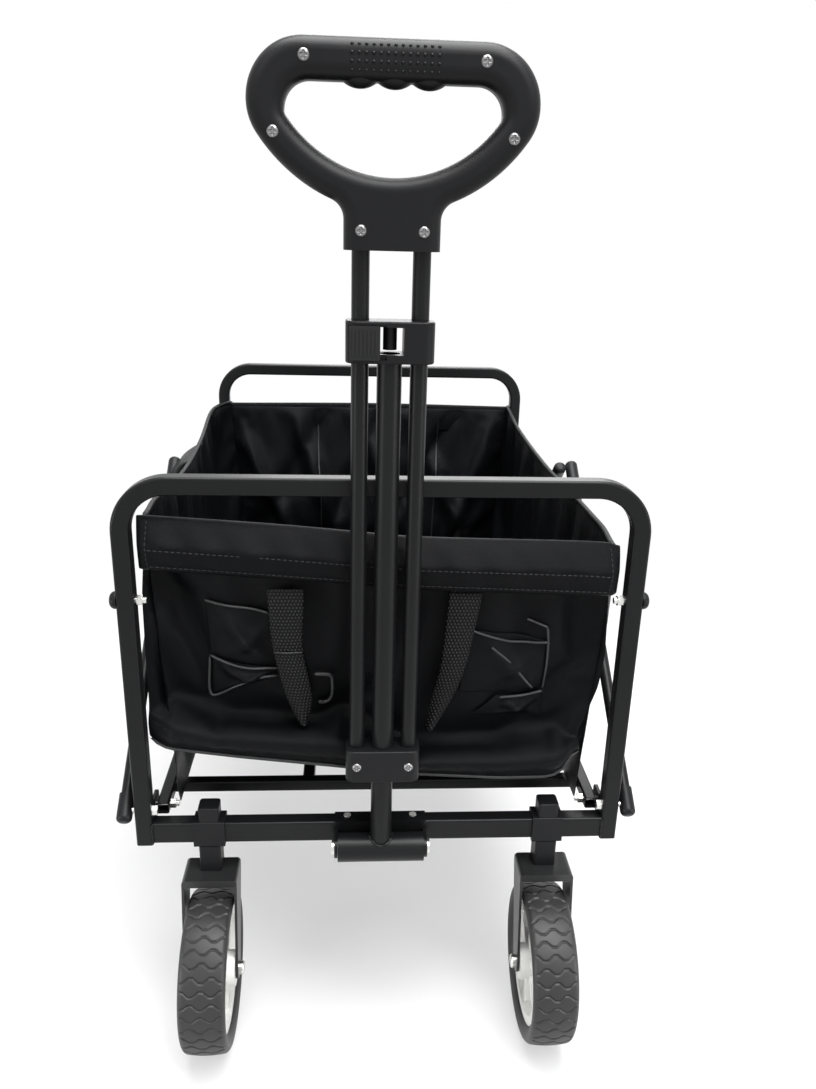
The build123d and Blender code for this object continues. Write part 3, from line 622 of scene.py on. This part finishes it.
sidePanels = {
    "slack": 0.02,
    "rows": 26,
    "cols": 76,
    "foot": 0.243,
    "half": 0.2145,
    "taper": 0.0213,
    "pinch": 0.006,
    "frontGap": 0.0055,
    "ends": 0.0095,
    "folds": [
        (0.08, 0.05, 0.03, 0.007), (0.2, -0.1, 0.04, -0.006), (0.33, 0.12, 0.03, 0.008),
        (0.47, 0.04, 0.05, -0.006), (0.6, -0.08, 0.03, 0.008), (0.72, 0.10, 0.04, -0.007),
        (0.84, -0.05, 0.03, 0.008), (0.93, 0.0, 0.025, -0.005),
    ],
    "topLeft": [(0.0, 0.534), (0.12, 0.527), (0.3, 0.516), (0.5, 0.511), (0.8, 0.513), (1.0, 0.5145)],
    "topRight": [(0.0, 0.506), (0.25, 0.502), (0.5, 0.499), (0.8, 0.503), (0.95, 0.512), (1.0, 0.5145)],
    "bulgeLeft": [(0.0, 0.0), (0.3, 0.0), (0.6, 0.008), (0.85, 0.020), (0.94, 0.017), (1.0, 0.0)],
    "bulgeRight": [(0.0, 0.0), (0.3, 0.0), (0.5, -0.003), (0.8, -0.003), (1.0, 0.0)],
}


def sideWallPoints(label, side):
    rows, cols = sidePanels["rows"], sidePanels["cols"]
    u, v = unitGrid(rows, cols)
    y = frontPlane + sidePanels["frontGap"] + (rearPlane - frontPlane - sidePanels["ends"]) * u + 0 * v
    top = smoothList(sidePanels["top" + label], u)
    z = top + (sidePanels["foot"] - top) * v
    narrow = sidePanels["pinch"] * softStep(0.12 - u, 0, 0.12)
    inner = softStep(u, 0, 0.06) * softStep(1 - u, 0, 0.06)
    bulge = smoothList(sidePanels["bulge" + label], u) * (1 - v**1.5)
    folds = foldDepth(u, v, sidePanels["folds"]) * inner
    x = side * (sidePanels["half"] - narrow * (1 - v) + bulge - sidePanels["taper"] * v + folds)
    return np.stack([x, y, z], -1), pinEdges(rows, cols)


def squashWithFold(piece):
    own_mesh(piece)


for label, side in (("Left", -1.0), ("Right", 1.0)):
    sidePoints, sidePin = sideWallPoints(label, side)
    sidePoints = settle("sideTrial" + label, sidePoints, sidePin, sidePanels["slack"])
    name = "sideWallCloth" + label
    sideCloth = addGrid(name, sidePoints, "oxfordCloth", smooth=2, flip=side < 0, thick=0.0012)
    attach(sideCloth, "front_frame")
    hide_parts("side_wall_" + label.lower())
    squashWithFold(sideCloth)
print("stage: rear and side walls")


# Floor: padded boards, and aprons that slope from the end walls down to them
floorLook = {
    "crown": 0.0016,
    "strip": 0.009,
    "stripLift": 0.0014,
    "apronLap": 0.018,
    "apronLift": 0.0004,
    "apronWave": 0.004,
    "rearFootShift": (0, -0.0016, 0),
}


def padPoints(nodeName, rows=30, cols=46):
    low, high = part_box(nodeName)
    u = np.linspace(-1, 1, cols)[None, :]
    v = np.linspace(-1, 1, rows)[:, None]
    edge = np.maximum(np.abs(u), np.abs(v))
    middle = (low.z + high.z) / 2
    height = middle + (high.z - low.z) / 2 * np.clip(1 - edge**14, 0, 1) ** 0.5
    height = height + floorLook["crown"] * (1 - u**2) * (1 - v**2)
    x = (low.x + high.x) / 2 + (high.x - low.x) / 2 * u + 0 * v
    y = (low.y + high.y) / 2 + (high.y - low.y) / 2 * v + 0 * u
    top = np.stack([x, y, height], -1)
    under = top[::-1].copy()
    under[..., 2] = low.z + high.z - middle - (under[..., 2] - middle)
    under[..., 2] = np.maximum(under[..., 2], low.z)
    return np.concatenate([top, under[1:]], 0)


for nodeName, body in (("floor_pad_front", "base_front"), ("floor_pad_rear", "base_rear")):
    pad = addGrid("cover_" + nodeName, padPoints(nodeName), "oxfordCloth", smooth=1)
    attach(pad, body)
    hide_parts(nodeName)


# A strip of cloth under the pads closes the fold line between them
frontPadLow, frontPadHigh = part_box("floor_pad_front")
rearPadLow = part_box("floor_pad_rear")[0]
foldY = (frontPadHigh.y + rearPadLow.y) / 2
stripAcross = np.linspace(frontPadLow.x, frontPadHigh.x, 40)
stripAlong = np.linspace(foldY - floorLook["strip"], foldY + floorLook["strip"], 9)
stripX, stripY = np.meshgrid(stripAcross, stripAlong)
stripPoints = np.stack([stripX, stripY, 0 * stripX + frontPadLow.z + floorLook["stripLift"]], -1)
foldStrip = addGrid("floorFold", stripPoints, "oxfordCloth", thick=0.0008)
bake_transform(foldStrip)


# From the wall's foot down to the floor pad, with a slack middle
def apronPoints(foot, body, rows=22):
    cols = len(foot)
    u, v = unitGrid(rows, cols)
    low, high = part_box("floor_pad_" + body)
    end = low.y + floorLook["apronLap"] if body == "front" else high.y - floorLook["apronLap"]
    t = softStep(v, -0.1, 1.1)
    wave = floorLook["apronWave"] * np.sin(3 * np.pi * u) * np.sin(np.pi * v)
    z = foot[None, :, 2] + (high.z + floorLook["apronLift"] - foot[None, :, 2]) * t + wave
    x = foot[None, :, 0] * (1 - v) + (low.x + (high.x - low.x) * u) * v
    y = foot[None, :, 1] * (1 - v) + end * v
    return np.stack([x, y, z], -1)


apron = apronPoints(wallPoints[-1], "front")
frontApron = addGrid("apronFront", apron, "oxfordCloth", smooth=1, thick=0.0012)
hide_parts("floor_apron_front")
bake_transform(frontApron)
# The rear apron starts a row up, just inside the wall, so no light shows between them
rearFoot = rearPoints[-2] + np.array(floorLook["rearFootShift"])
apron = apronPoints(rearFoot, "rear")
rearApron = addGrid("apronRear", apron, "oxfordCloth", smooth=1, thick=0.0012, flip=True)
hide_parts("floor_apron_rear")
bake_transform(rearApron)
print("stage: floor")


# The front wall's y at given places on it, by the nearest cloth points
def wallY(x, z):
    flat = wallPoints.reshape(-1, 3)
    x, z = np.broadcast_arrays(x, z)
    apart = (x.ravel()[:, None] - flat[None, :, 0]) ** 2 + (z.ravel()[:, None] - flat[None, :, 2]) ** 2
    weight = np.exp(-apart / 0.009**2)
    return ((weight * flat[None, :, 1]).sum(1) / weight.sum(1)).reshape(x.shape)


# A patch between four corners, laid on the front wall, with creases that run slantwise
def patchPoints(corners, lift, ripple, rows=18, cols=22):
    corner = np.asarray(corners, float)
    u, v = unitGrid(rows, cols)
    top = corner[0][None, None] * (1 - u[..., None]) + corner[1][None, None] * u[..., None]
    foot = corner[3][None, None] * (1 - u[..., None]) + corner[2][None, None] * u[..., None]
    flat = top * (1 - v[..., None]) + foot * v[..., None]
    x, z = flat[..., 0], flat[..., 1]
    inner = np.sin(np.pi * u) * np.sin(np.pi * v)
    downRight = np.exp(-(((u - v * 0.8 - 0.1) / 0.16) ** 2))
    downLeft = np.exp(-(((u + v - 1.2) / 0.12) ** 2))
    crease = downRight + 0.7 * downLeft
    y = wallY(x, z) - lift - ripple * inner * (0.3 + crease)
    return np.stack([x, y, z], -1)


def addPipe(name, line, radius, body, lift=0.0, count=40):
    path = smoothLine(line, count)
    y = wallY(path[:, 0], path[:, 1]) - lift
    tube = tubePoints(np.stack([path[:, 0], y, path[:, 1]], -1), radius)
    piece = addGrid(name, tube, "piping", wrapCols=True)
    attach(piece, body)


# Pockets on the front wall, with piped edges
pocketLook = {
    "pipe": 0.0013,
    "leftTop": [(-0.161, 0.456), (-0.103, 0.4435), (-0.096, 0.3865), (-0.160, 0.397)],
    "leftFlap": [(-0.160, 0.397), (-0.096, 0.3865), (-0.097, 0.3795), (-0.160, 0.3535)],
    "rightTop": [(0.081, 0.427), (0.1535, 0.4155), (0.1543, 0.360), (0.072, 0.362)],
    "rightFoot": [(0.108, 0.357), (0.1543, 0.359), (0.1538, 0.3295), (0.088, 0.338)],
}
pocketPatches = (
    ("pocketLeftTop", "leftTop", 0.002, 0.005, (0.060, 0.058)),
    ("pocketLeftFlap", "leftFlap", 0.003, 0.006, (0.062, 0.026)),
    ("pocketRightTop", "rightTop", 0.002, 0.005, (0.076, 0.058)),
    ("pocketRightFoot", "rightFoot", 0.003, 0.006, (0.056, 0.025)),
)
for name, corners, lift, ripple, flat in pocketPatches:
    points = patchPoints(pocketLook[corners], lift, ripple)
    patch = addGrid(name, points, "oxfordCloth", smooth=1, flip=True, thick=0.0008)
    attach(patch, "front_frame")
pocketPipes = (
    ("pipeLeftTop", [(-0.161, 0.456), (-0.132, 0.450), (-0.103, 0.4437)], 0.004),
    ("pipeLeftMiddle", [(-0.160, 0.3975), (-0.128, 0.3895), (-0.096, 0.387)], 0.006),
    (
        "pipeLeftFlap",
        [(-0.160, 0.3965), (-0.1605, 0.3545), (-0.135, 0.368), (-0.116, 0.3775), (-0.097, 0.3795)],
        0.006,
    ),
    (
        "pipeRightTop",
        [(0.081, 0.427), (0.105, 0.4185), (0.121, 0.4132), (0.138, 0.4133), (0.1535, 0.4152)],
        0.005,
    ),
    ("pipeRightSide", [(0.152, 0.430), (0.1537, 0.4145), (0.1545, 0.386), (0.1543, 0.360)], 0.004),
    ("pipeRightTab", [(0.134, 0.435), (0.1525, 0.4297)], 0.003),
    ("pipeRightFold", [(0.1005, 0.4105), (0.120, 0.392), (0.143, 0.3655)], 0.007),
    ("pipeRightFoot", [(0.111, 0.3565), (0.132, 0.3585), (0.1543, 0.3592)], 0.007),
)
for name, line, lift in pocketPipes:
    addPipe(name, line, pocketLook["pipe"], "front_frame", lift)
print("stage: pockets")


# Webbing straps: flat ribbed bands hanging from under the cuff, narrowing as they twist away
strapLook = {
    "left": [
        (-0.1045, -0.0715, 0.470), (-0.1034, -0.0714, 0.455), (-0.100, -0.0728, 0.411),
        (-0.0887, -0.0650, 0.360), (-0.0760, -0.0700, 0.331),
    ],
    "right": [
        (0.0590, 0.0885, 0.470), (0.0578, 0.0872, 0.457), (0.0532, 0.0770, 0.395),
        (0.0459, 0.0655, 0.358), (0.0414, 0.0491, 0.325),
    ],
}


def strapPoints(edges, count=60, cols=9):
    path = smoothLine(edges, count)
    u = np.linspace(0, 1, cols)[None, :]
    x = path[:, :1] * (1 - u) + path[:, 1:2] * u
    z = path[:, 2:3] + 0 * u
    fall = np.linspace(0, 1, count)[:, None]
    curl = 0.004 * np.sin(np.pi * u) * fall + 0.003 * np.sin(5 * fall)
    y = np.minimum(wallY(x, z), frontPlane + 0.006) - 0.006 - curl
    return np.stack([x, y, z], -1)


for label, edges in strapLook.items():
    name = "strap" + label.capitalize()
    strap = addGrid(name, strapPoints(edges), "webbing", smooth=1, flip=True, thick=0.0014)
    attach(strap, "front_frame")
# A crease half way down the left strap, and a loop beside it
foldRow = strapPoints(strapLook["left"])[30]
foldTube = tubePoints(foldRow + np.array([0, -0.0014, 0]), 0.0009)
foldLine = addGrid("strapFold", foldTube, "piping", wrapCols=True)
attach(foldLine, "front_frame")
loopLine = [
    (-0.0635, 0.3835), (-0.049, 0.3815), (-0.0465, 0.372), (-0.0475, 0.356), (-0.053, 0.350), (-0.060, 0.351),
]
addPipe("strapLoop", loopLine, 0.0018, "front_frame", 0.006)
print("stage: straps")


# Piped edges of the lip and the walls' tops
def addEdge(name, path, radius, body, reference=(0.0, 0.0, 1.0), finish="piping"):
    piece = addGrid(name, tubePoints(path, radius, reference=reference), finish, wrapCols=True)
    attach(piece, body)
    return piece


addEdge("pipeLip", wallPoints[-1] + np.array([0, -0.0006, -0.001]), 0.0018, "front_frame")
for label, side in (("Left", -1.0), ("Right", 1.0)):
    top, _ = sideWallPoints(label, side)
    hemLine = top[0] + np.array([0, 0, 0.0005])
    hem = addEdge("hemPipe" + label, hemLine, 0.0026, "front_frame", finish="oxfordCloth")
    squashWithFold(hem)
for label, x in (("Left", -0.083), ("Right", 0.105)):
    column = int(round((x / 0.2085 + 1) / 2 * (rearPoints.shape[1] - 1)))
    seamLine = rearPoints[2:, column] + np.array([0, -0.0012, 0])
    addEdge("rearSeam" + label, seamLine, 0.0011, "rear_frame", (0.0, 1.0, 0.0))
print("stage: piping")


# Stitches: short capsules in a row, each a small rounded dash along its line
def stitchPoints(line, length, gap, radius):
    steps = np.linalg.norm(np.diff(line, axis=0), axis=1)
    run = np.concatenate([[0], steps.cumsum()])
    starts = np.arange(0, run[-1] - length, length + gap)
    share = np.array([0, 0.12, 0.5, 0.88, 1.0])
    at = starts[:, None] + length * share[None, :]
    centre = np.stack([np.interp(at, run, line[:, axis]) for axis in range(3)], -1)
    ahead = centre[:, -1:] - centre[:, :1]
    ahead = ahead / np.linalg.norm(ahead, axis=2, keepdims=True)
    side = np.cross(ahead, np.array([0.0, 1.0, 0.0]))
    side = side / np.linalg.norm(side, axis=2, keepdims=True)
    up = np.cross(side, ahead)
    turn = np.linspace(0, 2 * np.pi, 6, endpoint=False)
    size = radius * np.array([0.1, 0.8, 1.0, 0.8, 0.1])[None, :, None, None]
    ring = side[:, :, None] * np.cos(turn)[None, None, :, None]
    ring = ring + up[:, :, None] * np.sin(turn)[None, None, :, None]
    return centre[:, :, None] + ring * size


def addStitches(name, line, body, length=0.0034, gap=0.0016, radius=0.00045):
    points = stitchPoints(np.asarray(line, float), length, gap, radius)
    flat = points.reshape(-1, 3)
    piece = addMesh(name, flat, repeatFaces(points), flat[:, ::2], "thread")
    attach(piece, body)


def cuffFront(x, share):
    top = alongList(cuffLook["topLine"], x)
    foot = alongList(cuffLook["footLine"], x)
    z = foot + (top - foot) * share
    out = smoothList(cuffLook["section"], share)
    return np.stack([x, np.full_like(x, frontPlane) - out - 0.0008, z], -1)


cuffRun = np.linspace(-0.203, 0.2015, 160)
for name, share in (("stitchHem", 0.13), ("stitchMiddle", 0.47)):
    addStitches("cuff_" + name, cuffFront(cuffRun, share), "front_frame")
seamRun = np.linspace(0.06, 0.94, 40)
for name, x in (("stitchEndLeft", -0.2045), ("stitchEndRight", 0.2015)):
    addStitches("cuff_" + name, cuffFront(np.full_like(seamRun, x), seamRun), "front_frame")
print("stage: stitches")


# Tyres: a rounded band whose tread is cut by lines that zigzag across it, each second line set half a step on
tyreLook = {
    "pitch": 0.0118, "swing": 0.0046, "line": 0.0008, "depth": 0.0014,
    "shoulder": 0.0060, "height": 0.017, "crown": 0.0012, "steps": 840,
}


def tyrePoints(low, high):
    centre = (low + high) / 2
    radius = (high.z - low.z) / 2
    half = (high.x - low.x) / 2
    bore = radius - tyreLook["height"]
    corner = tyreLook["shoulder"]
    drop = tyreLook["crown"]
    arc = np.linspace(0, np.pi / 2, 7)
    crown = np.linspace(-1, 1, 42)[1:-1]
    across = np.concatenate([
        [-half + 0.004], -half + corner - corner * np.cos(arc), crown * (half - corner),
        half - corner + corner * np.sin(arc), [half - 0.004],
    ])
    out = np.concatenate([
        [bore], radius - drop - corner + corner * np.sin(arc), radius - drop * crown**2,
        radius - drop - corner + corner * np.cos(arc), [bore],
    ])
    turn = np.linspace(0, 2 * np.pi, tyreLook["steps"], endpoint=False)[:, None]
    lines = round(2 * np.pi * radius / tyreLook["pitch"] / 2) * 2
    pitch = 2 * np.pi * radius / lines
    a = across[None, :] / (half - 0.003)
    wave = np.abs(np.mod(a + 1.0, 1.0) - 0.5) * 2
    wave = np.clip(wave * 1.8 - 0.4, 0, 1)
    run = turn * radius
    depth = np.zeros(np.broadcast_shapes(run.shape, a.shape))
    for sign, shift in ((1.0, 0.0), (-1.0, 1.0)):
        place = run - sign * tyreLook["swing"] * (wave - 0.5) - shift * pitch
        gap = np.abs(np.mod(place + pitch, 2 * pitch) - pitch)
        depth = np.maximum(depth, np.clip(1.6 - gap / tyreLook["line"], 0, 1))
    onTread = softStep(1 - np.abs(a), -0.02, 0.06) * (out[None, :] > radius - 0.006)
    r = out[None, :] - tyreLook["depth"] * depth * onTread
    x = centre.x + across[None, :] + 0 * turn
    return np.stack([x, centre.y + r * np.cos(turn), centre.z + r * np.sin(turn)], -1)


for end in ("front", "rear"):
    for side in ("left", "right"):
        low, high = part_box(f"{end}_{side}_tyre")
        points = tyrePoints(low, high)
        tyre = addGrid(f"tread_{end}_{side}", points, "tyreRubber", wrapRows=True, wrapCols=True)
        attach(tyre, f"{end}_{side}_wheel")
        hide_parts(f"{end}_{side}_tyre")
print("stage: tyres")


# A loose flap on the left that falls over the upper ends of the side arms
flapLook = {"front": -0.040, "back": 0.060, "top": 0.511, "drop": 0.050, "wall": 0.2185, "out": 0.246}


def flapPoints(rows=22, cols=26):
    u, v = unitGrid(rows, cols)
    over = np.sin(np.pi / 2 * np.clip(v / 0.7, 0, 1))
    fall = v**1.6
    edge = np.sqrt(np.clip(1 - np.abs(2 * u - 1) ** 3, 0, 1))
    x = -(flapLook["wall"] + (flapLook["out"] - flapLook["wall"]) * over * (0.35 + 0.65 * edge))
    z = flapLook["top"] - flapLook["drop"] * fall * (0.45 + 0.55 * edge)
    y = flapLook["front"] + (flapLook["back"] - flapLook["front"]) * u + 0.006 * np.sin(9 * u + 2) * fall
    ripple = 0.0035 * np.sin(14 * u) * fall
    return np.stack([x + ripple, y + 0 * v, z + 0 * u], -1)


flap = addGrid("armFlapLeft", flapPoints(), "oxfordCloth", smooth=1, thick=0.0012, flip=True)
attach(flap, "front_frame")
squashWithFold(flap)
print("stage: flap")


# Weld beads: rippled ropes, one round the post where it meets the hub and one at each end of the cross tubes
weldLook = {"bead": 0.0014, "ripple": 0.2, "hub": 0.0135, "post": 0.0105, "face": 0.0081, "end": 0.001}


def addWeld(name, line, body, closed):
    run = np.concatenate([[0], np.linalg.norm(np.diff(line, axis=0), axis=1).cumsum()])
    size = weldLook["bead"] * (1 + weldLook["ripple"] * np.sin(run / 0.0011))
    piece = addGrid(name, tubePoints(line, size, closed=closed), "powderCoat", wrapRows=closed, wrapCols=True)
    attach(piece, body)


postLow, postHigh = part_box("handle_post")
turn = np.linspace(0, 2 * np.pi, 120, endpoint=False)
swing = weldLook["post"] * np.sin(turn)
rise = postLow.z + weldLook["hub"] + np.sqrt(weldLook["hub"] ** 2 - swing**2)
hubLine = np.stack([weldLook["post"] * np.cos(turn), (postLow.y + postHigh.y) / 2 + swing, rise], -1)
addWeld("weldHub", hubLine, "handle", True)
for end, plane, outward in (("front", frontPlane, -1), ("rear", rearPlane, 1)):
    low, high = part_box(end + "_cross_tube")
    z = np.linspace(low.z + weldLook["end"], high.z - weldLook["end"], 60)
    for label, x in (("Left", low.x), ("Right", high.x)):
        line = np.stack([0 * z + x, 0 * z + plane + outward * weldLook["face"], z], -1)
        addWeld("weld" + end.capitalize() + label, line, end + "_frame", False)
print("stage: welds")


# Screw heads: low domes with a cross-shaped recess pressed into them
screwLook = {"radius": 0.0042, "rise": 0.0015, "slot": 0.00075, "slotDepth": 0.0012, "slotReach": 0.0029}


def screwPoints(centre, face):
    ring = np.linspace(0, 1, 22)[:, None] ** 0.9
    turn = np.linspace(0, 2 * np.pi, 64, endpoint=False)[None, :]
    r = screwLook["radius"] * np.maximum(1 - ring, 0.002)
    x, z = r * np.cos(turn), r * np.sin(turn)
    rise = screwLook["rise"] * (1 - (r / screwLook["radius"]) ** 4)
    near = np.minimum(np.abs(x), np.abs(z))
    cross = softStep(screwLook["slot"] + 0.0002 - near, 0, 0.0003)
    cross = cross * softStep(screwLook["slotReach"] - r, 0, 0.0004)
    y = face - rise + screwLook["slotDepth"] * cross
    return np.stack([centre[0] + x, y, centre[1] + z], -1)


def addScrews(places):
    sets = [screwPoints((x, z), face) for x, face, z in places]
    points = np.stack(sets)
    flat = points.reshape(-1, 3)
    heads = addMesh("screwHeads", flat, repeatFaces(points)[:, ::-1], flat[:, ::2], "screwSteel")
    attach(heads, "handle_slide")


# Grip dots: small domes in rows on the front of the grip's top bar
dotLook = {
    "rows": 4, "cols": 13, "radius": 0.00125, "rise": 0.0009, "width": 0.0615, "height": 0.0165,
    "middle": 0.8868, "round": 0.011, "flat": (0.8835, 0.8900),
}


def dotPoints(face):
    across = np.linspace(-1, 1, dotLook["cols"])[None, :]
    x = across * dotLook["width"] / 2 + np.zeros((dotLook["rows"], 1))
    z = dotLook["middle"] + np.linspace(1, -1, dotLook["rows"])[:, None] * dotLook["height"] / 2 + 0 * x
    lift = np.linspace(0, np.pi / 2, 5)[:, None]
    turn = np.linspace(0, 2 * np.pi, 10, endpoint=False)[None, :]
    flat = dotLook["radius"] * np.cos(lift)
    flat = np.maximum(flat, dotLook["radius"] * 0.02)
    rise = -dotLook["rise"] * np.sin(lift) + 0 * turn
    bump = np.stack([flat * np.cos(turn), rise, flat * np.sin(turn)], -1)
    past = np.maximum(np.maximum(dotLook["flat"][0] - z, z - dotLook["flat"][1]), 0)
    back = dotLook["round"] - np.sqrt(dotLook["round"] ** 2 - past**2)
    centre = np.stack([x.ravel(), (face + back).ravel(), z.ravel()], -1)
    return centre[:, None, None] + bump[None]


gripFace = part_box("grip_front")[0].y
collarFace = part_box("lower_collar")[0].y
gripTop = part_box("grip_front")[1].z
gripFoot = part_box("grip_front")[0].z
screwPlaces = [
    (0.0235, collarFace, 0.310),
    (0.0235, gripFace, gripFoot + 0.014),
    (0.087, gripFace, 0.8375),
    (0.0645, gripFace, gripTop - 0.014),
]
addScrews([(side * x, face, z) for x, face, z in screwPlaces for side in (-1, 1)])
dots = dotPoints(gripFace)
dotsFlat = dots.reshape(-1, 3)
gripDots = addMesh("gripDots", dotsFlat, repeatFaces(dots), dotsFlat[:, ::2], "blackPlastic")
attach(gripDots, "handle_slide")
print("stage: grip")

# Camera: fitted to the photo's perspective
cameraLook = {
    "place": (-0.0293, -1.0783, 0.7740),
    "pitch": math.radians(19.28),
    "yaw": math.radians(3.797),
    "roll": math.radians(1.548),
    "lens": 901.53 / 816 * 36,
}


def addCamera(look):
    pitch, yaw, roll = look["pitch"], look["yaw"], look["roll"]
    ahead = Vector((math.sin(yaw) * math.cos(pitch), math.cos(yaw) * math.cos(pitch), -math.sin(pitch)))
    right = Vector((math.cos(yaw), -math.sin(yaw), 0))
    down = ahead.cross(right)
    imageRight = right * math.cos(roll) - down * math.sin(roll)
    imageDown = right * math.sin(roll) + down * math.cos(roll)
    data = bpy.data.cameras.new("camera")
    data.sensor_fit = "HORIZONTAL"
    data.sensor_width = 36
    data.lens = look["lens"]
    data.clip_start, data.clip_end = 0.01, 50
    camera = bpy.data.objects.new("camera", data)
    turned = Matrix((imageRight, -imageDown, -ahead)).transposed().to_4x4()
    camera.matrix_world = Matrix.Translation(look["place"]) @ turned
    scene.collection.objects.link(camera)
    scene.camera = camera


addCamera(cameraLook)

# Studio: a pale floor, a white backdrop for the camera and soft lights from above and in front
studioLook = {
    "floor": 0.9,
    "bounce": 0.4,
    "reach": 2.0,
    "shadowReach": (0.5, 1.1),
    "whitening": 0.5,
    "sky": 0.26,
    "lights": [
        {
            "name": "overhead", "place": (0.1, -0.3, 2.5), "aim": (0, -0.1, 0.3),
            "size": 1.6, "power": 84,
        },
        {
            "name": "frontLeft", "place": (-1.7, -2.0, 2.3), "aim": (0, -0.2, 0.4),
            "size": 0.9, "power": 6,
        },
        {
            "name": "frontRight", "place": (1.9, -1.8, 2.0), "aim": (0, -0.2, 0.4),
            "size": 0.9, "power": 5,
        },
        {
            "name": "behind", "place": (0.4, 2.4, 2.0), "aim": (0, 0, 0.4),
            "size": 1.8, "power": 40,
        },
        {
            "name": "frontTop", "place": (0.75, -1.5, 2.5), "aim": (0, -0.3, 0.5),
            "size": 1.0, "power": 36,
        },
        {
            "name": "lowLeft", "place": (-1.2, -1.0, 0.35), "aim": (-0.05, -0.38, 0.06),
            "size": 0.4, "spread": 60, "power": 0.9,
        },
        {
            "name": "lowRight", "place": (1.2, -1.0, 0.35), "aim": (0.05, -0.38, 0.06),
            "size": 0.4, "spread": 60, "power": 0.9,
        },
    ],
}


# The floor takes soft shadows near the object, fades to plain white further out and throws less light back up
def addFloor(look):
    reach = look["reach"]
    points = reach * np.array([[-1, -1, 0], [1, -1, 0], [1, 1, 0], [-1, 1, 0]], float)
    floor = addMesh("studioFloor", points, np.array([[0, 1, 2, 3]]), points[:, :2], "whiteRim")
    surface = bpy.data.materials.new("paleFloor")
    surface.use_nodes = True
    tree = surface.node_tree
    base = setInputs(tree.nodes["Principled BSDF"], Roughness=0.8)
    path = node(tree, "ShaderNodeLightPath")
    shown = math2(tree, "MAXIMUM", path.outputs["Is Glossy Ray"], path.outputs["Is Transmission Ray"])
    seen = math2(tree, "MAXIMUM", path.outputs["Is Camera Ray"], shown)
    shade = mapRange(tree, look["bounce"], look["floor"])
    tree.links.new(seen, shade.inputs["Value"])
    tree.links.new(shade.outputs["Result"], base.inputs["Base Color"])
    glow = setInputs(node(tree, "ShaderNodeEmission"), Color=(1, 1, 1, 1), Strength=1.0)
    place = node(tree, "ShaderNodeTexCoord")
    away = node(tree, "ShaderNodeVectorMath", operation="LENGTH")
    tree.links.new(place.outputs["Object"], away.inputs[0])
    near, far = look["shadowReach"]
    fade = mapRange(tree, look["whitening"], 1.0, interpolation_type="SMOOTHSTEP")
    setInputs(fade, **{"From Min": near, "From Max": far})
    tree.links.new(away.outputs["Value"], fade.inputs["Value"])
    mix = node(tree, "ShaderNodeMixShader")
    tree.links.new(math2(tree, "MULTIPLY", fade.outputs["Result"], seen), mix.inputs["Fac"])
    tree.links.new(base.outputs["BSDF"], mix.inputs[1])
    tree.links.new(glow.outputs["Emission"], mix.inputs[2])
    tree.links.new(mix.outputs["Shader"], tree.nodes["Material Output"].inputs["Surface"])
    floor.data.materials.clear()
    floor.data.materials.append(surface)


def addLights(lights):
    for look in lights:
        data = bpy.data.lights.new(look["name"], "AREA")
        data.size = look["size"]
        data.energy = look["power"]
        data.spread = math.radians(look.get("spread", 180))
        lamp = bpy.data.objects.new(look["name"], data)
        lamp.location = look["place"]
        lamp.rotation_mode = "QUATERNION"
        lamp.rotation_quaternion = (Vector(look["aim"]) - Vector(look["place"])).to_track_quat("-Z", "Y")
        scene.collection.objects.link(lamp)


def addSky(level):
    world = bpy.data.worlds.new("studio")
    world.use_nodes = True
    scene.world = world
    tree = world.node_tree
    path = node(tree, "ShaderNodeLightPath")
    shown = math2(tree, "MAXIMUM", path.outputs["Is Glossy Ray"], path.outputs["Is Transmission Ray"])
    seen = math2(tree, "MAXIMUM", path.outputs["Is Camera Ray"], shown)
    strength = math2(tree, "ADD", math2(tree, "MULTIPLY", seen, 1.0 - level), level)
    background = tree.nodes["Background"]
    background.inputs["Color"].default_value = (1, 1, 1, 1)
    tree.links.new(strength, background.inputs["Strength"])


addFloor(studioLook)
addLights(studioLook["lights"])
addSky(studioLook["sky"])
scene.view_settings.view_transform = "Standard"
